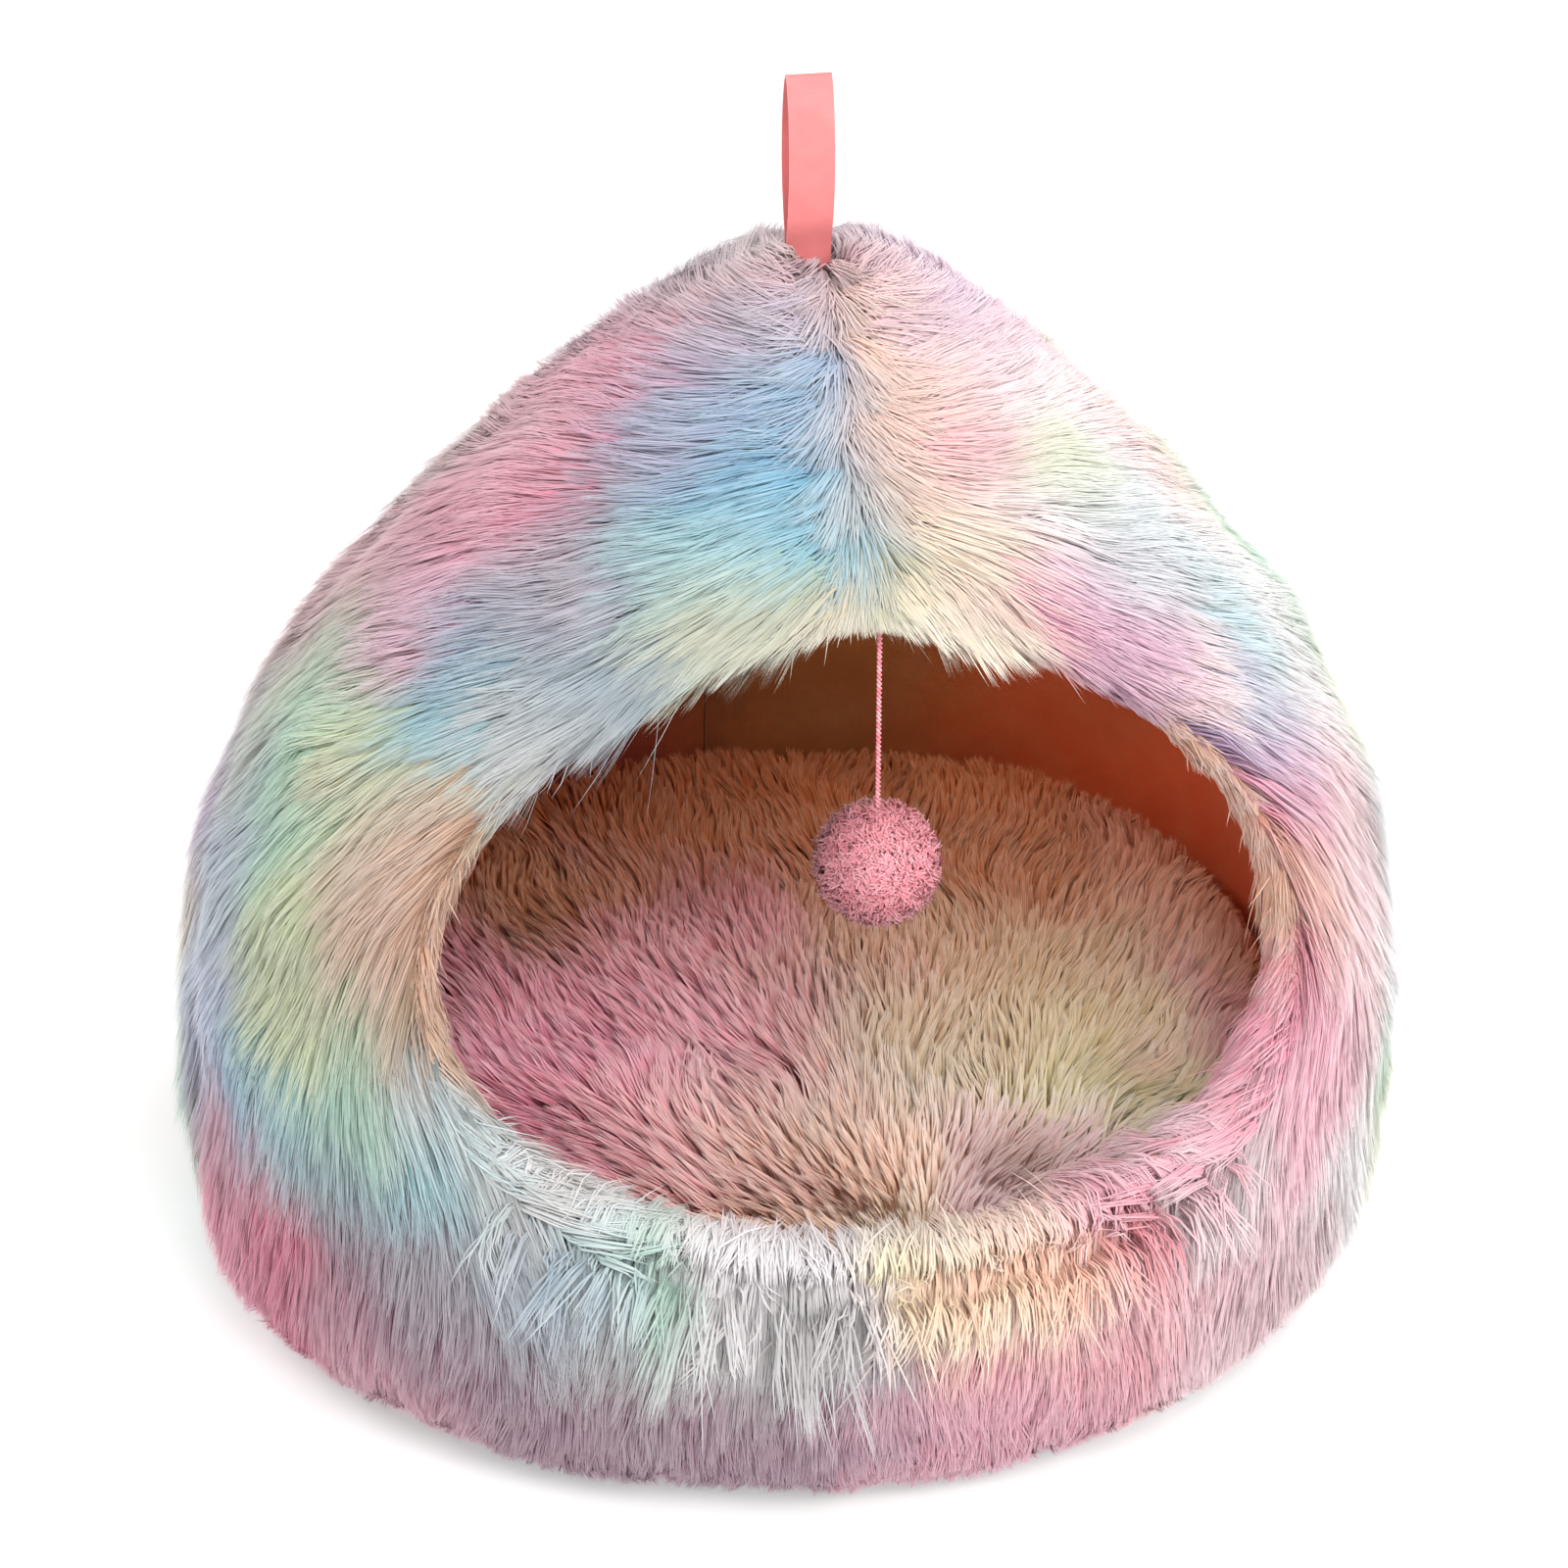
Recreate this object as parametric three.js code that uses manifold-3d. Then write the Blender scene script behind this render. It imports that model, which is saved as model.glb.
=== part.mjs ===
// A plush cat cave bed: four padded gores of long pile sewn into a leaning dome with a wide mouth,
// a lining cut to the same gores, a flat base, a loose cushion, a ribbon loop sewn in at the top,
// and a pompom that hangs on a string from the top of the mouth.
// Millimetres, +Z up, front towards -Y, origin on the floor under the middle of the base.
import * as THREE from 'three';
import { mergeVertices } from 'three/addons/utils/BufferGeometryUtils.js';
import Module from 'manifold-3d';

const wasm = await Module();
wasm.setup();

// Sections of the padded wall, from the hem up to the top.
// The tips are where the pile ends outside, and the face is the cloth inside the padding.
const WALL_SECTIONS = [
  { at: 'hem', tipRadius: 190, tipHeight: 0, faceRadius: 158, faceHeight: 0 },
  { at: 'kick', tipRadius: 212, tipHeight: 27, faceRadius: 178, faceHeight: 27 },
  { at: 'belly', tipRadius: 217, tipHeight: 86, faceRadius: 186, faceHeight: 84 },
  { at: 'chest', tipRadius: 211, tipHeight: 149, faceRadius: 181, faceHeight: 142 },
  { at: 'shoulder', tipRadius: 181, tipHeight: 215, faceRadius: 155, faceHeight: 199 },
  { at: 'neck', tipRadius: 134, tipHeight: 274, faceRadius: 114, faceHeight: 250 },
  { at: 'cone', tipRadius: 83, tipHeight: 325, faceRadius: 70, faceHeight: 296 },
  { at: 'crown', tipRadius: 37, tipHeight: 361, faceRadius: 32, faceHeight: 328 },
  { at: 'rosette', tipRadius: 16, tipHeight: 372, faceRadius: 14, faceHeight: 337 },
  { at: 'top', tipRadius: 0, tipHeight: 371, faceRadius: 0, faceHeight: 339 },
];
const WALL_THICKNESS = 32;
const TOP_HEIGHT = 371;
const LEAN = 13;
const LEAN_POWER = 1.5;

// The side seams' angle from the front, low down and high up, and where they swing between the two.
const SIDE_SEAM = { low: 80, high: 104, from: 0.2, to: 0.6 };
const sideSeamAt = (rise) => {
  const swing = THREE.MathUtils.smoothstep(rise, SIDE_SEAM.from, SIDE_SEAM.to);
  return THREE.MathUtils.degToRad(THREE.MathUtils.lerp(SIDE_SEAM.low, SIDE_SEAM.high, swing));
};

// Seams between the gores, and the depth of the furrow that the pile leaves over each at hem and top.
const SEAMS = [
  { angleAt: () => 0, hem: 3, top: 9 },
  { angleAt: (rise) => sideSeamAt(rise), hem: 2, top: 5 },
  { angleAt: (rise) => -sideSeamAt(rise), hem: 2, top: 5 },
  { angleAt: () => Math.PI, hem: 3, top: 9 },
];
const FURROW_WIDTH = 9;
const GAP = 0.3;
const SEAM_SET_OUT = 0.35;
const FRONT_MIDDLE = THREE.MathUtils.degToRad(45);
const BACK_MIDDLE = THREE.MathUtils.degToRad(135);

// Long swells of the pile: turns round the dome, waves from hem to top, and height.
const PILE_SWELLS = [
  { around: 11, along: 5, phase: 0.4, height: 1.3 },
  { around: -7, along: 9, phase: 2.1, height: 1.0 },
  { around: 15, along: -4, phase: 4.0, height: 0.8 },
];
const SWELL_FULL_RADIUS = 90;

// The mouth is a superellipse in angle and height of the pile's tips.
const MOUTH = {
  halfAngle: THREE.MathUtils.degToRad(50),
  centreHeight: 200,
  up: 96,
  down: 92,
  exponentUp: 1.85,
  exponentDown: 2.1,
};
const NOSE_ROWS = [0, 3, 8, 16];
// The padding thins toward the mouth on its inner side, over this distance.
const FACE_TAPER = 42;

// Steps of the gores' grids, which the lining shares.
const FRONT_STEPS = 28;
const FRONT_CORNER_STEP = 18;
const FRONT_ROWS = 11;
const BACK_STEPS = 14;
const BACK_ROWS = 18;
const LINING_THICKNESS = 2;
const LINING_HEM_RISE = 0.002;

const BASE_THICKNESS = 14;

// The cushion's half section, from the middle of its underside to the middle of its top.
const CUSHION_RADIUS = 177;
const CUSHION_SECTION = [
  { share: 0, height: 0 },
  { share: 0.5, height: 0 },
  { share: 0.87, height: 0 },
  { share: 0.95, height: 11 },
  { share: 0.985, height: 28 },
  { share: 1, height: 50 },
  { share: 0.99, height: 68 },
  { share: 0.95, height: 79 },
  { share: 0.85, height: 84 },
  { share: 0.66, height: 86 },
  { share: 0.42, height: 88 },
  { share: 0.2, height: 90 },
  { share: 0, height: 90 },
];
const CUSHION_STEPS = 36;
// Humps and hollows of its filling: place, reach and lift.
const CUSHION_LUMPS = [
  { x: 115, y: 95, reach: 65, lift: 11 },
  { x: 165, y: 10, reach: 60, lift: 7 },
  { x: -40, y: 62, reach: 42, lift: -9 },
  { x: -20, y: 130, reach: 50, lift: 3 },
  { x: -115, y: 10, reach: 60, lift: 2 },
  { x: -10, y: -35, reach: 75, lift: 3 },
  { x: 0, y: -160, reach: 80, lift: -7 },
];

// The ribbon loop, seen from the side: its front leg from the seam up to the fold.
const RIBBON_WIDTH = 15;
const RIBBON_THICKNESS = 1;
const RIBBON_OFFSET = -4;
const RIBBON_LEG = [
  { out: 0.9, height: 347 },
  { out: 0.9, height: 364 },
  { out: 4.2, height: 374 },
  { out: 7, height: 388 },
  { out: 6.6, height: 403 },
  { out: 3.6, height: 416 },
];
const RIBBON_TOP = 422;
const RIBBON_POINTS = 34;
const SLOT_CLEARANCE = 0.4;
const SLOT_FLOOR = 346;

const STRING_TURN = 0.02;
const STRING_RADIUS = 0.95;
const STRING_SIDES = 8;
const STRING_STEPS = 10;
const POMPOM = { radius: 21, uneven: 0.8, core: 18.2, locks: 118, lockRadius: 1.8, root: 16.5, height: 190 };
const POMPOM_DETAIL = 3;
const POMPOM_PARTING = Math.cos(THREE.MathUtils.degToRad(20));

// Locks of pile that hang over the mouth from a narrow strip along its edge.
const RIM_LOCKS = 80;
const RIM_LOCK_RADIUS = 1.15;
const RIM_STRIP = 1.8;
const RIM_START = 0.045;
const RIM_END = 0.98;
const RIM_LENGTH = { over: 22, under: 15, spread: 0.3 };
// How a lock runs from its root, in shares of its length: over the top and sides, and over the lip.
const RIM_CURL = {
  hanging: [{ into: 0.38, out: 0.3, down: 0.06 }, { into: 0.72, out: 0.24, down: 0.42 }],
  lying: [{ into: 0.45, out: -0.12, down: 0 }, { into: 0.7, out: -0.5, down: 0 }],
};
const LIP = { from: 0.1, to: 0.7 };
const LOCK_TAPER = 0.35;

const DOWN = new THREE.Vector3(0, 0, -1);

const plush = (colour) => new THREE.MeshStandardMaterial({ color: colour, roughness: 0.95, metalness: 0 });
const MATERIALS = {
  plush_left: plush(0xb9c9df),
  plush_right: plush(0xf4cfd2),
  plush_back: plush(0xdcd3e4),
  rim: plush(0xe9dcd0),
  cushion: plush(0xe2b3a4),
  lining: new THREE.MeshStandardMaterial({ color: 0xd9805f, roughness: 0.7, metalness: 0 }),
  base: new THREE.MeshStandardMaterial({ color: 0xd8b9bd, roughness: 0.9, metalness: 0 }),
  ribbon: new THREE.MeshStandardMaterial({ color: 0xf08c8c, roughness: 0.4, metalness: 0 }),
  pompom: plush(0xf3a6c0),
};

// Repeatable numbers from 0 to 1 that look unordered.
const scatter = (k) => {
  const wave = Math.sin(k * 12.9898 + 4.1) * 43758.5453;
  return wave - Math.floor(wave);
};

// Solids from points

// A closed geometry from triangles given as triples of points; points that coincide are shared.
function closedGeometry(triangles) {
  const corners = triangles.flat();
  let geometry = new THREE.BufferGeometry().setFromPoints(corners);
  geometry = mergeVertices(geometry, 1e-3);
  const index = geometry.index.array;
  const position = geometry.attributes.position;
  const [a, b, c] = [new THREE.Vector3(), new THREE.Vector3(), new THREE.Vector3()];
  let volume = 0;
  const kept = [];
  for (let k = 0; k < index.length; k += 3) {
    const [i, j, l] = [index[k], index[k + 1], index[k + 2]];
    if (i === j || j === l || i === l) continue;
    volume += a.fromBufferAttribute(position, i).dot(
      b.fromBufferAttribute(position, j).cross(c.fromBufferAttribute(position, l)),
    );
    kept.push(i, j, l);
  }
  if (volume < 0) {
    for (let k = 0; k < kept.length; k += 3) [kept[k + 1], kept[k + 2]] = [kept[k + 2], kept[k + 1]];
  }
  geometry.setIndex(kept);
  return geometry;
}

const quad = (a, b, c, d) => [[a, b, c], [a, c, d]];

// The space between two grids of points, closed along their four edges.
function gridSolid(outer, inner) {
  const triangles = [];
  const columns = outer.length - 1;
  const rows = outer[0].length - 1;
  for (let i = 0; i < columns; i++) {
    for (let j = 0; j < rows; j++) {
      triangles.push(...quad(outer[i][j], outer[i + 1][j], outer[i + 1][j + 1], outer[i][j + 1]));
      triangles.push(...quad(inner[i][j], inner[i][j + 1], inner[i + 1][j + 1], inner[i + 1][j]));
    }
    triangles.push(...quad(outer[i + 1][0], outer[i][0], inner[i][0], inner[i + 1][0]));
    triangles.push(...quad(outer[i][rows], outer[i + 1][rows], inner[i + 1][rows], inner[i][rows]));
  }
  for (let j = 0; j < rows; j++) {
    triangles.push(...quad(outer[0][j], outer[0][j + 1], inner[0][j + 1], inner[0][j]));
    const [o, n] = [outer[columns], inner[columns]];
    triangles.push(...quad(o[j + 1], o[j], n[j], n[j + 1]));
  }
  return closedGeometry(triangles);
}

// Rings of points in a row, capped at both ends.
function ringSolid(rings) {
  const triangles = [];
  const sides = rings[0].length;
  for (let k = 0; k < rings.length - 1; k++) {
    for (let s = 0; s < sides; s++) {
      const t = (s + 1) % sides;
      triangles.push(...quad(rings[k][s], rings[k][t], rings[k + 1][t], rings[k + 1][s]));
    }
  }
  const last = rings[rings.length - 1];
  for (let s = 1; s < sides - 1; s++) {
    triangles.push([rings[0][0], rings[0][s + 1], rings[0][s]]);
    triangles.push([last[0], last[s], last[s + 1]]);
  }
  return closedGeometry(triangles);
}

function toSolid(geometry) {
  const bare = geometry.clone();
  bare.deleteAttribute('normal');
  bare.deleteAttribute('uv');
  const merged = mergeVertices(bare, 1e-3);
  return new wasm.Manifold(
    new wasm.Mesh({
      numProp: 3,
      vertProperties: merged.attributes.position.array,
      triVerts: new Uint32Array(merged.index.array),
    }),
  );
}

function fromSolid(solid) {
  const mesh = solid.getMesh();
  const geometry = new THREE.BufferGeometry();
  geometry.setAttribute('position', new THREE.BufferAttribute(mesh.vertProperties, 3));
  geometry.setIndex(new THREE.BufferAttribute(mesh.triVerts, 1));
  return geometry;
}

const joined = (geometries) => fromSolid(geometries.map(toSolid).reduce((all, one) => all.add(one)));

// The padded wall

const sectionCurve = (radius, height) =>
  new THREE.CatmullRomCurve3(WALL_SECTIONS.map((row) => new THREE.Vector3(row[radius], 0, row[height])));
const tipCurve = sectionCurve('tipRadius', 'tipHeight');
const faceCurve = sectionCurve('faceRadius', 'faceHeight');

const leanAt = (height) => LEAN * (Math.max(height, 0) / TOP_HEIGHT) ** LEAN_POWER;

// A point of the wall: angle from the front, rise from hem 0 to top 1, depth from tips 0 to face 1.
function wallPoint(angle, rise, depth) {
  const t = tipCurve.getUtoTmapping(rise);
  const p = tipCurve.getPoint(t).lerp(faceCurve.getPoint(t), depth);
  return new THREE.Vector3(leanAt(p.z) + p.x * Math.sin(angle), -p.x * Math.cos(angle), p.z);
}

const tipRadiusAt = (rise) => tipCurve.getPointAt(rise).x;

function riseAtHeight(height) {
  let [low, high] = [0, 1];
  while (high - low > 1e-6) {
    const middle = (low + high) / 2;
    if (tipCurve.getPointAt(middle).z < height) low = middle;
    else high = middle;
  }
  return low;
}

// How far the pile lies below its full height at a place, as a share of the wall.
function pileDip(angle, rise) {
  const radius = tipRadiusAt(rise);
  let furrow = 0;
  for (const seam of SEAMS) {
    const past = angle - seam.angleAt(rise);
    const turn = Math.abs(Math.atan2(Math.sin(past), Math.cos(past)));
    const depth = THREE.MathUtils.lerp(seam.hem, seam.top, rise);
    furrow = Math.max(furrow, depth * Math.exp(-(((radius * turn) / FURROW_WIDTH) ** 2)));
  }
  let swell = 0;
  for (const wave of PILE_SWELLS) {
    const phase = wave.around * angle + 2 * Math.PI * wave.along * rise + wave.phase;
    swell += wave.height * Math.sin(phase);
  }
  swell *= Math.min(1, radius / SWELL_FULL_RADIUS);
  return (furrow - swell) / WALL_THICKNESS;
}

// A point of the mouth's edge: turn runs from the top, 0, round one side to the bottom, 1.
function mouthEdge(turn, side) {
  const along = Math.cos(Math.PI * turn);
  const power = 2 / (along > 0 ? MOUTH.exponentUp : MOUTH.exponentDown);
  const across = Math.sin(Math.PI * turn) ** power;
  const reach = along > 0 ? MOUTH.up : MOUTH.down;
  const height = MOUTH.centreHeight + reach * Math.sign(along) * Math.abs(along) ** power;
  return { angle: side * MOUTH.halfAngle * across, rise: riseAtHeight(height) };
}

// The outer edge of a front gore: from the top down the side seam, then along the hem to the front.
function goreEdge(step, side) {
  if (step <= FRONT_CORNER_STEP) {
    const rise = 1 - step / FRONT_CORNER_STEP;
    return { angle: side * sideSeamAt(rise), rise };
  }
  const share = (step - FRONT_CORNER_STEP) / (FRONT_STEPS - FRONT_CORNER_STEP);
  return { angle: side * sideSeamAt(0) * (1 - share), rise: 0 };
}

// Places of a front gore's grid, with each place's distance from the mouth's edge.
function frontGrid(side) {
  const grid = [];
  for (let step = 0; step <= FRONT_STEPS; step++) {
    const rim = mouthEdge(step / FRONT_STEPS, side);
    const far = goreEdge(step, side);
    if (step === 0) far.angle = 0;
    const length = wallPoint(rim.angle, rim.rise, 0.5).distanceTo(wallPoint(far.angle, far.rise, 0.5));
    const noseEnd = NOSE_ROWS.length - 1;
    const column = [];
    for (let row = 0; row <= FRONT_ROWS; row++) {
      const even = (row - noseEnd) / (FRONT_ROWS - noseEnd);
      const distance = row <= noseEnd ? NOSE_ROWS[row] : THREE.MathUtils.lerp(NOSE_ROWS[noseEnd], length, even);
      const share = distance / length;
      column.push({
        angle: THREE.MathUtils.lerp(rim.angle, far.angle, share),
        rise: THREE.MathUtils.lerp(rim.rise, far.rise, share),
        distance,
      });
    }
    grid.push(column);
  }
  return grid;
}

function backGrid(side) {
  const grid = [];
  for (let step = 0; step <= BACK_STEPS; step++) {
    const column = [];
    for (let row = 0; row <= BACK_ROWS; row++) {
      const rise = row / BACK_ROWS;
      const angle = side * THREE.MathUtils.lerp(sideSeamAt(rise), Math.PI, step / BACK_STEPS);
      column.push({ angle, rise, distance: Infinity });
    }
    grid.push(column);
  }
  return grid;
}

// The share of the half thickness that the wall has reached at a distance from its rounded nose.
function noseShare(distance) {
  const half = WALL_THICKNESS / 2;
  if (distance >= half) return 1;
  return Math.sqrt(1 - (1 - distance / half) ** 2);
}

// The depth of the inner cloth at a distance from the mouth's edge.
const faceDepth = (distance) => 0.5 + 0.5 * Math.sin((Math.PI / 2) * Math.min(1, distance / FACE_TAPER));

function plushGore(grid) {
  const tips = grid.map((column) =>
    column.map(({ angle, rise, distance }) => {
      const share = noseShare(distance);
      return wallPoint(angle, rise, 0.5 - share * (0.5 - pileDip(angle, rise)));
    }),
  );
  const face = grid.map((column) =>
    column.map(({ angle, rise, distance }) => wallPoint(angle, rise, faceDepth(distance))),
  );
  return gridSolid(tips, face);
}

const LINING_OUTSIDE = GAP / WALL_THICKNESS;
const LINING_INSIDE = (GAP + LINING_THICKNESS) / WALL_THICKNESS;

function liningGore(grid, firstRow) {
  const place = ({ angle, rise, distance }, past) =>
    wallPoint(angle, Math.max(rise, LINING_HEM_RISE), faceDepth(distance) + past);
  const layer = (past) => grid.map((column) => column.slice(firstRow).map((spot) => place(spot, past)));
  return gridSolid(layer(LINING_OUTSIDE), layer(LINING_INSIDE));
}

// Each gore stands out from the axis along its own middle, so that the seams stay a hair apart.
function setOut(geometry, middleAngle) {
  return geometry.translate(SEAM_SET_OUT * Math.sin(middleAngle), -SEAM_SET_OUT * Math.cos(middleAngle), 0);
}

const ribbonX = leanAt(TOP_HEIGHT) + RIBBON_OFFSET;

// The slot at the top of the seams that takes the ribbon's two ends.
function ribbonSlot() {
  const slot = new THREE.BoxGeometry(
    RIBBON_WIDTH + 2 * SLOT_CLEARANCE,
    2 * (RIBBON_LEG[0].out + RIBBON_THICKNESS / 2 + SLOT_CLEARANCE),
    WALL_THICKNESS,
  );
  return toSolid(slot.translate(ribbonX, 0, SLOT_FLOOR + WALL_THICKNESS / 2));
}

// The loose and sewn-on pieces

function baseGeometry(outline) {
  const shape = new THREE.Shape(outline.map((p) => new THREE.Vector2(p.x, p.y)));
  return new THREE.ExtrudeGeometry(shape, { depth: BASE_THICKNESS, bevelEnabled: false });
}

// The inside of the lining along the floor, once round.
function baseOutline() {
  const hem = [];
  for (const side of [1, -1]) {
    const front = frontGrid(side).map((column) => column[FRONT_ROWS]).slice(FRONT_CORNER_STEP);
    const back = backGrid(side).map((column) => column[0]);
    const half = [...front.reverse(), ...back.slice(1)].map((place) => place.angle);
    hem.push(side > 0 ? half : half.reverse().slice(1, -1));
  }
  const depth = 1 + LINING_INSIDE;
  return hem.flat().map((angle) => wallPoint(angle, 0, depth));
}

function cushionLift(x, y) {
  let lift = 0;
  for (const lump of CUSHION_LUMPS) {
    const distance = Math.hypot(x - lump.x, y - lump.y) / lump.reach;
    lift += lump.lift * Math.exp(-(distance ** 2));
  }
  return lift;
}

function cushionGeometry() {
  const floor = BASE_THICKNESS + GAP;
  const crown = CUSHION_SECTION[CUSHION_SECTION.length - 1].height;
  const rings = CUSHION_SECTION.map(({ share, height }) => {
    const ring = [];
    for (let k = 0; k < CUSHION_STEPS; k++) {
      const angle = (2 * Math.PI * k) / CUSHION_STEPS;
      const x = CUSHION_RADIUS * share * Math.cos(angle);
      const y = CUSHION_RADIUS * share * Math.sin(angle);
      ring.push(new THREE.Vector3(x, y, floor + height + cushionLift(x, y) * (height / crown) ** 2));
    }
    return ring;
  });
  return ringSolid(rings);
}

function ribbonGeometry() {
  const front = RIBBON_LEG.map(({ out, height }) => new THREE.Vector2(-out, height));
  const rear = RIBBON_LEG.map(({ out, height }) => new THREE.Vector2(out, height)).reverse();
  const fold = new THREE.Vector2(0, RIBBON_TOP - RIBBON_THICKNESS / 2);
  const path = new THREE.SplineCurve([...front, fold, ...rear]);
  const left = [];
  const right = [];
  for (let k = 0; k <= RIBBON_POINTS; k++) {
    const p = path.getPoint(k / RIBBON_POINTS);
    const along = path.getTangent(k / RIBBON_POINTS);
    const away = new THREE.Vector2(-along.y, along.x).multiplyScalar(RIBBON_THICKNESS / 2);
    left.push(p.clone().add(away));
    right.push(p.clone().sub(away));
  }
  const shape = new THREE.Shape([...left, ...right.reverse()]);
  const geometry = new THREE.ExtrudeGeometry(shape, { depth: RIBBON_WIDTH, bevelEnabled: false });
  // The shape is drawn in Y and Z and swept along X.
  const turn = new THREE.Matrix4().set(0, 0, 1, ribbonX - RIBBON_WIDTH / 2, 1, 0, 0, 0, 0, 1, 0, 0, 0, 0, 0, 1);
  return geometry.applyMatrix4(turn);
}

// Where the string is sewn, at the mouth's top edge a little to the right of the seam.
function stringTop() {
  const edge = mouthEdge(STRING_TURN, 1);
  return wallPoint(edge.angle, edge.rise, 0.5).addScaledVector(DOWN, 3 * GAP);
}

function stringGeometry() {
  const top = stringTop();
  const end = POMPOM.height + POMPOM.core + GAP;
  const rings = [];
  for (let k = 0; k <= STRING_STEPS; k++) {
    const height = THREE.MathUtils.lerp(top.z, end, k / STRING_STEPS);
    const ring = [];
    for (let s = 0; s < STRING_SIDES; s++) {
      const turn = (2 * Math.PI * s) / STRING_SIDES;
      const [x, y] = [STRING_RADIUS * Math.cos(turn), STRING_RADIUS * Math.sin(turn)];
      ring.push(new THREE.Vector3(top.x + x, top.y + y, height));
    }
    rings.push(ring);
  }
  return ringSolid(rings);
}

// A three-sided lock of pile through a row of points, ending in a tip.
function lockGeometry(points, radius) {
  const tip = points[points.length - 1];
  const along = tip.clone().sub(points[0]).normalize();
  const across = new THREE.Vector3(along.y, along.z, along.x).cross(along).normalize();
  const other = along.clone().cross(across);
  const rings = points.slice(0, -1).map((p, k) => {
    const size = radius * (1 - (LOCK_TAPER * k) / (points.length - 1));
    return [0, 1, 2].map((corner) => {
      const turn = (2 * Math.PI * corner) / 3;
      return p.clone()
        .addScaledVector(across, size * Math.cos(turn))
        .addScaledVector(other, size * Math.sin(turn));
    });
  });
  return ringSolid([...rings, [tip, tip, tip]]);
}

function pompomGeometry() {
  const top = stringTop();
  const centre = new THREE.Vector3(top.x, top.y, POMPOM.height);
  const core = new THREE.IcosahedronGeometry(POMPOM.core, POMPOM_DETAIL).translate(...centre);
  const locks = [core];
  for (let k = 0; k < POMPOM.locks; k++) {
    const height = 1 - (2 * (k + 0.5)) / POMPOM.locks;
    if (height > POMPOM_PARTING) continue;
    const turn = k * Math.PI * (3 - Math.sqrt(5));
    const level = Math.sqrt(1 - height ** 2);
    const way = new THREE.Vector3(level * Math.cos(turn), level * Math.sin(turn), height);
    const reach = POMPOM.radius - POMPOM.uneven * scatter(k);
    const points = [POMPOM.root, reach].map((r) => centre.clone().addScaledVector(way, r));
    locks.push(lockGeometry(points, POMPOM.lockRadius));
  }
  return joined(locks);
}

// The mouth's edge as a frame: the edge, the way into the mouth and the way out of the wall.
function rimFrame(turn, side) {
  const step = 1e-3;
  const place = mouthEdge(turn, side);
  const at = (share) => {
    const edge = mouthEdge(THREE.MathUtils.clamp(share, 0, 1), side);
    return wallPoint(edge.angle, edge.rise, 0.5);
  };
  const along = at(turn + step).sub(at(turn - step)).normalize();
  const out = wallPoint(place.angle, place.rise, 0).sub(wallPoint(place.angle, place.rise, 1)).normalize();
  const into = along.clone().cross(out).multiplyScalar(side).normalize();
  return { edge: at(turn), into, out };
}

// The line that the strip follows, a hair inside the mouth's edge, at a share of the way round.
function stripPoint(turn, side) {
  const at = THREE.MathUtils.clamp(turn, RIM_START, RIM_END) * FRONT_STEPS;
  const [low, share] = [Math.floor(at), at - Math.floor(at)];
  const corner = (step) => {
    const { edge, into } = rimFrame(step / FRONT_STEPS, side);
    return edge.addScaledVector(into, GAP + RIM_STRIP);
  };
  return corner(low).lerp(corner(Math.min(low + 1, FRONT_STEPS)), share);
}

function rimStrip(side) {
  const stops = [RIM_START];
  for (let step = 1; step < FRONT_STEPS; step++) stops.push(step / FRONT_STEPS);
  stops.push(RIM_END);
  const rings = stops.map((turn) => {
    const { into, out } = rimFrame(turn, side);
    const middle = stripPoint(turn, side);
    return [into, out, into.clone().negate(), out.clone().negate()].map((way) =>
      middle.clone().addScaledVector(way, RIM_STRIP),
    );
  });
  return ringSolid(rings);
}

// One lock at the rim: it hangs over the mouth's top and sides, and lies back over the lip below.
function rimLock(turn, side, k) {
  const { into, out } = rimFrame(turn, side);
  const under = THREE.MathUtils.smoothstep(-Math.cos(Math.PI * turn), LIP.from, LIP.to);
  const spread = 1 + RIM_LENGTH.spread * (2 * scatter(k) - 1);
  const length = spread * THREE.MathUtils.lerp(RIM_LENGTH.over, RIM_LENGTH.under, under);
  const root = stripPoint(turn, side);
  const way = (curl) =>
    new THREE.Vector3()
      .addScaledVector(into, curl.into)
      .addScaledVector(out, curl.out)
      .addScaledVector(DOWN, curl.down);
  const points = RIM_CURL.hanging.map((hanging, n) => {
    const reach = way(hanging).lerp(way(RIM_CURL.lying[n]), under);
    return root.clone().addScaledVector(reach, length);
  });
  return lockGeometry([root, ...points], RIM_LOCK_RADIUS);
}

function rimLocks(side) {
  const pieces = [rimStrip(side)];
  for (let k = 0; k < RIM_LOCKS; k++) {
    const turn = THREE.MathUtils.lerp(RIM_START, RIM_END, (k + 0.5) / RIM_LOCKS);
    pieces.push(rimLock(turn, side, side * k));
  }
  return joined(pieces);
}

// The bed

const bed = new THREE.Group();

function addPiece(name, geometry, material) {
  geometry.computeVertexNormals();
  const mesh = new THREE.Mesh(geometry, material);
  mesh.name = name;
  bed.add(mesh);
}

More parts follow.
